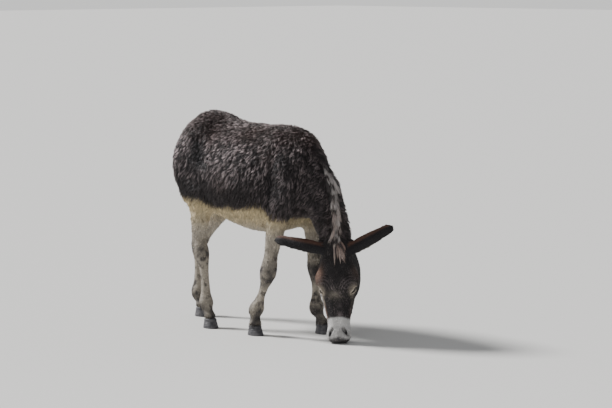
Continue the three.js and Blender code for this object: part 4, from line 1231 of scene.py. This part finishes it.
# %% Hooves
hooves = []
for name in [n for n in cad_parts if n.startswith("hoof")]:
    bm = merged_copy(name)
    bmesh.ops.dissolve_limit(bm, angle_limit=math.radians(2), verts=bm.verts, edges=bm.edges)
    crease = bm.edges.layers.float.new("crease_edge")
    for edge in bm.edges:
        if len(edge.link_faces) == 2 and edge.calc_face_angle() > math.radians(50):
            edge[crease] = 0.75
    hoof = mesh_object(name.replace("hoof", "horn"), bm)
    rounded = hoof.modifiers.new("rounded", "SUBSURF")
    rounded.levels = rounded.render_levels = 3
    applied(hoof)
    shape, _ = mesh_arrays(hoof.data)
    middle = (shape.min(axis=0) + shape.max(axis=0)) / 2
    height = shape[:, 2] / shape[:, 2].max()
    ripple = 0.0007 * np.sin(height * 46) + 0.0018 * fade(height - 0.86, 0.06)  # rings, and a band
    ripple -= 0.0050 * height  # a hoof is narrower at the coronet than at the ground
    ripple -= 0.0030 * smooth_step(height, 0.93, 1.0) + 0.0016 * smooth_step(-height, -0.06, 0.0)
    outward = unit((shape - middle) * (1, 1, 0))
    is_wall = np.linalg.norm((shape - middle)[:, :2], axis=1) > 0.02
    set_places(hoof.data, shape + outward * (ripple * is_wall)[:, None])
    hoof.data.shade_smooth()
    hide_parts(name)
    hooves.append(hoof)
    print(hoof.name, len(hoof.data.polygons), "faces")

# %% [markdown]
# ## The finish of hide and hair
# Each hair takes its colour from the mesh. The material only adds what a mesh can't hold: a fine
# streakiness and the dull shine of dry hair.

# %% The finish of hide and hair
def plain_material(name, colour, roughness):
    material = bpy.data.materials.new(name)
    material.use_nodes = True
    shader = material.node_tree.nodes["Principled BSDF"]
    shader.inputs["Base Color"].default_value = (*colour, 1)
    shader.inputs["Roughness"].default_value = roughness
    return material


def added(nodes, kind, **values):
    """A new shader node of a kind, with values on its own sockets."""
    node = nodes.new("ShaderNode" + kind)
    for socket, value in values.items():
        node.inputs[socket].default_value = value
    return node


def tint_group():
    """A node group that breaks up a colour with a fine noise in the object's own space."""
    group = bpy.data.node_groups.new("hair tint", "ShaderNodeTree")
    for name, direction, kind in (
        ("Colour", "INPUT", "Color"), ("Grain", "INPUT", "Float"), ("Depth", "INPUT", "Float"),
        ("Colour", "OUTPUT", "Color"), ("Height", "OUTPUT", "Float"),
    ):
        group.interface.new_socket(name, in_out=direction, socket_type="NodeSocket" + kind)
    nodes, links = group.nodes, group.links
    enter, leave = nodes.new("NodeGroupInput"), nodes.new("NodeGroupOutput")
    place, noise = added(nodes, "TexCoord"), added(nodes, "TexNoise", Detail=3)
    links.new(place.outputs["Object"], noise.inputs["Vector"])
    links.new(enter.outputs["Grain"], noise.inputs["Scale"])
    shade = added(nodes, "MapRange", **{"From Min": 0.3, "From Max": 0.7})
    links.new(noise.outputs["Fac"], shade.inputs["Value"])
    for operation, limit in (("SUBTRACT", "To Min"), ("ADD", "To Max")):
        sum_node = added(nodes, "Math")
        sum_node.operation = operation
        sum_node.inputs[0].default_value = 1
        links.new(enter.outputs["Depth"], sum_node.inputs[1])
        links.new(sum_node.outputs[0], shade.inputs[limit])
    times = added(nodes, "VectorMath")
    times.operation = "SCALE"
    links.new(enter.outputs["Colour"], times.inputs[0])
    links.new(shade.outputs["Result"], times.inputs["Scale"])
    links.new(times.outputs["Vector"], leave.inputs["Colour"])
    links.new(noise.outputs["Fac"], leave.inputs["Height"])
    return group


HAIR_TINT = tint_group()


def haired(name, grain, depth, roughness, bump=0.0):
    """A material that reads the painted hue, tinted by the group."""
    material = plain_material(name, (0.1, 0.1, 0.1), roughness)
    nodes, links = material.node_tree.nodes, material.node_tree.links
    shader = nodes["Principled BSDF"]
    shader.inputs["Specular IOR Level"].default_value = 0.35
    hue = added(nodes, "Attribute")
    hue.attribute_name = "hue"
    tint = added(nodes, "Group")
    tint.node_tree = HAIR_TINT
    tint.inputs["Grain"].default_value = grain
    tint.inputs["Depth"].default_value = depth
    links.new(hue.outputs["Color"], tint.inputs["Colour"])
    links.new(tint.outputs["Colour"], shader.inputs["Base Color"])
    if bump:
        relief = added(nodes, "Bump", Strength=bump, Distance=0.001)
        links.new(tint.outputs["Height"], relief.inputs["Height"])
        links.new(relief.outputs["Normal"], shader.inputs["Normal"])
    return material


skin_finish = haired("hide", 420, 0.18, 0.75, bump=0.5)
coat_finish = haired("coat", 160, 0.16, 0.50)
hide.data.materials.append(skin_finish)
for piece in coat_pieces:
    piece.data.materials.append(coat_finish)
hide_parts(*[n for n in flesh_nodes if not n.startswith("eye")])
for piece in (hide, *coat_pieces):
    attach(piece, "root")
for piece, node in ((mane, "mane"), (forelock, "forelock"), (tassel, "tail_tassel")):
    piece.data.materials.append(coat_finish)
    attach(piece, "root")
    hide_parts(node)
print("finished:", skin_finish.name, coat_finish.name)

# %% [markdown]
# ## The finish of hooves and eyes
# The hooves are dull blue-grey horn with fine rings. The eyes are nearly black, with a wet film that
# takes a small highlight.

# %% The finish of hooves and eyes
def horn_finish():
    """Dull blue-grey horn with rings round the hoof, clouded by dried earth."""
    material = plain_material("horn", (0.10, 0.11, 0.13), 0.55)
    nodes, links = material.node_tree.nodes, material.node_tree.links
    shader = nodes["Principled BSDF"]
    place = added(nodes, "TexCoord")
    rings = added(nodes, "TexWave", Scale=34, Distortion=2.5)
    rings.bands_direction = "Z"
    cloud = added(nodes, "TexNoise", Scale=38, Detail=5)
    for texture in (rings, cloud):
        links.new(place.outputs["Object"], texture.inputs["Vector"])
    ramp = added(nodes, "ValToRGB")
    stops = ((0.32, (0.020, 0.020, 0.025, 1)), (0.72, (0.105, 0.10, 0.105, 1)))
    for element, (position, colour) in zip(ramp.color_ramp.elements, stops):
        element.position, element.color = position, colour
    links.new(cloud.outputs["Fac"], ramp.inputs["Fac"])
    links.new(ramp.outputs["Color"], shader.inputs["Base Color"])
    relief = added(nodes, "Bump", Strength=0.5, Distance=0.0015)
    links.new(rings.outputs["Fac"], relief.inputs["Height"])
    links.new(relief.outputs["Normal"], shader.inputs["Normal"])
    return material


def wet_eye():
    """A nearly black brown, with a wet film."""
    material = plain_material("wet eye", (0.008, 0.005, 0.004), 0.16)
    shader = material.node_tree.nodes["Principled BSDF"]
    shader.inputs["Specular IOR Level"].default_value = 0.25
    shader.inputs["Coat Weight"].default_value = 0.3
    shader.inputs["Coat Roughness"].default_value = 0.04
    return material


horn, eye_finish = horn_finish(), wet_eye()
for hoof in hooves:
    hoof.data.materials.append(horn)
    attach(hoof, "root")
for ball in eyeballs:
    ball.data.materials.append(eye_finish)
print("finished:", horn.name, eye_finish.name)

# %% [markdown]
# ## Stage
# A plain pale floor, a soft key light high on the left and behind, a wide fill from the front, and a
# pale surround.

# %% Stage
bm = bmesh.new()
bmesh.ops.create_grid(bm, x_segments=1, y_segments=1, size=80)
floor = mesh_object("floor", bm)
floor.data.materials.append(plain_material("pale floor", (0.62, 0.61, 0.59), 0.9))


def lamp(name, kind, where, aim):
    light = bpy.data.lights.new(name, kind)
    obj = bpy.data.objects.new(name, light)
    obj.location = where
    obj.rotation_mode = "QUATERNION"
    obj.rotation_quaternion = (Vector(aim) - Vector(where)).to_track_quat("-Z", "Y")
    bpy.context.scene.collection.objects.link(obj)
    return light


BODY_MIDDLE = (0, 0, 0.7)
key = lamp("key", "SUN", (-4.4, -1.9, 5.0), BODY_MIDDLE)
key.energy, key.angle = 6.3, math.radians(12)
fill = lamp("fill", "AREA", (4.0, -5.0, 2.4), BODY_MIDDLE)
fill.shape, fill.size, fill.energy = "DISK", 4.0, 50
world = bpy.data.worlds.new("surround")
world.use_nodes = True
nodes, links = world.node_tree.nodes, world.node_tree.links
lit = nodes["Background"]
lit.inputs["Color"].default_value = (0.80, 0.82, 0.85, 1)
lit.inputs["Strength"].default_value = 0.48
seen = added(nodes, "Background", Color=(0.86, 0.86, 0.85, 1))  # past the floor, and as pale as it
path, either = added(nodes, "LightPath"), added(nodes, "MixShader")
links.new(path.outputs["Is Camera Ray"], either.inputs["Fac"])
links.new(lit.outputs["Background"], either.inputs[1])
links.new(seen.outputs["Background"], either.inputs[2])
links.new(either.outputs["Shader"], nodes["World Output"].inputs["Surface"])
bpy.context.scene.world = world
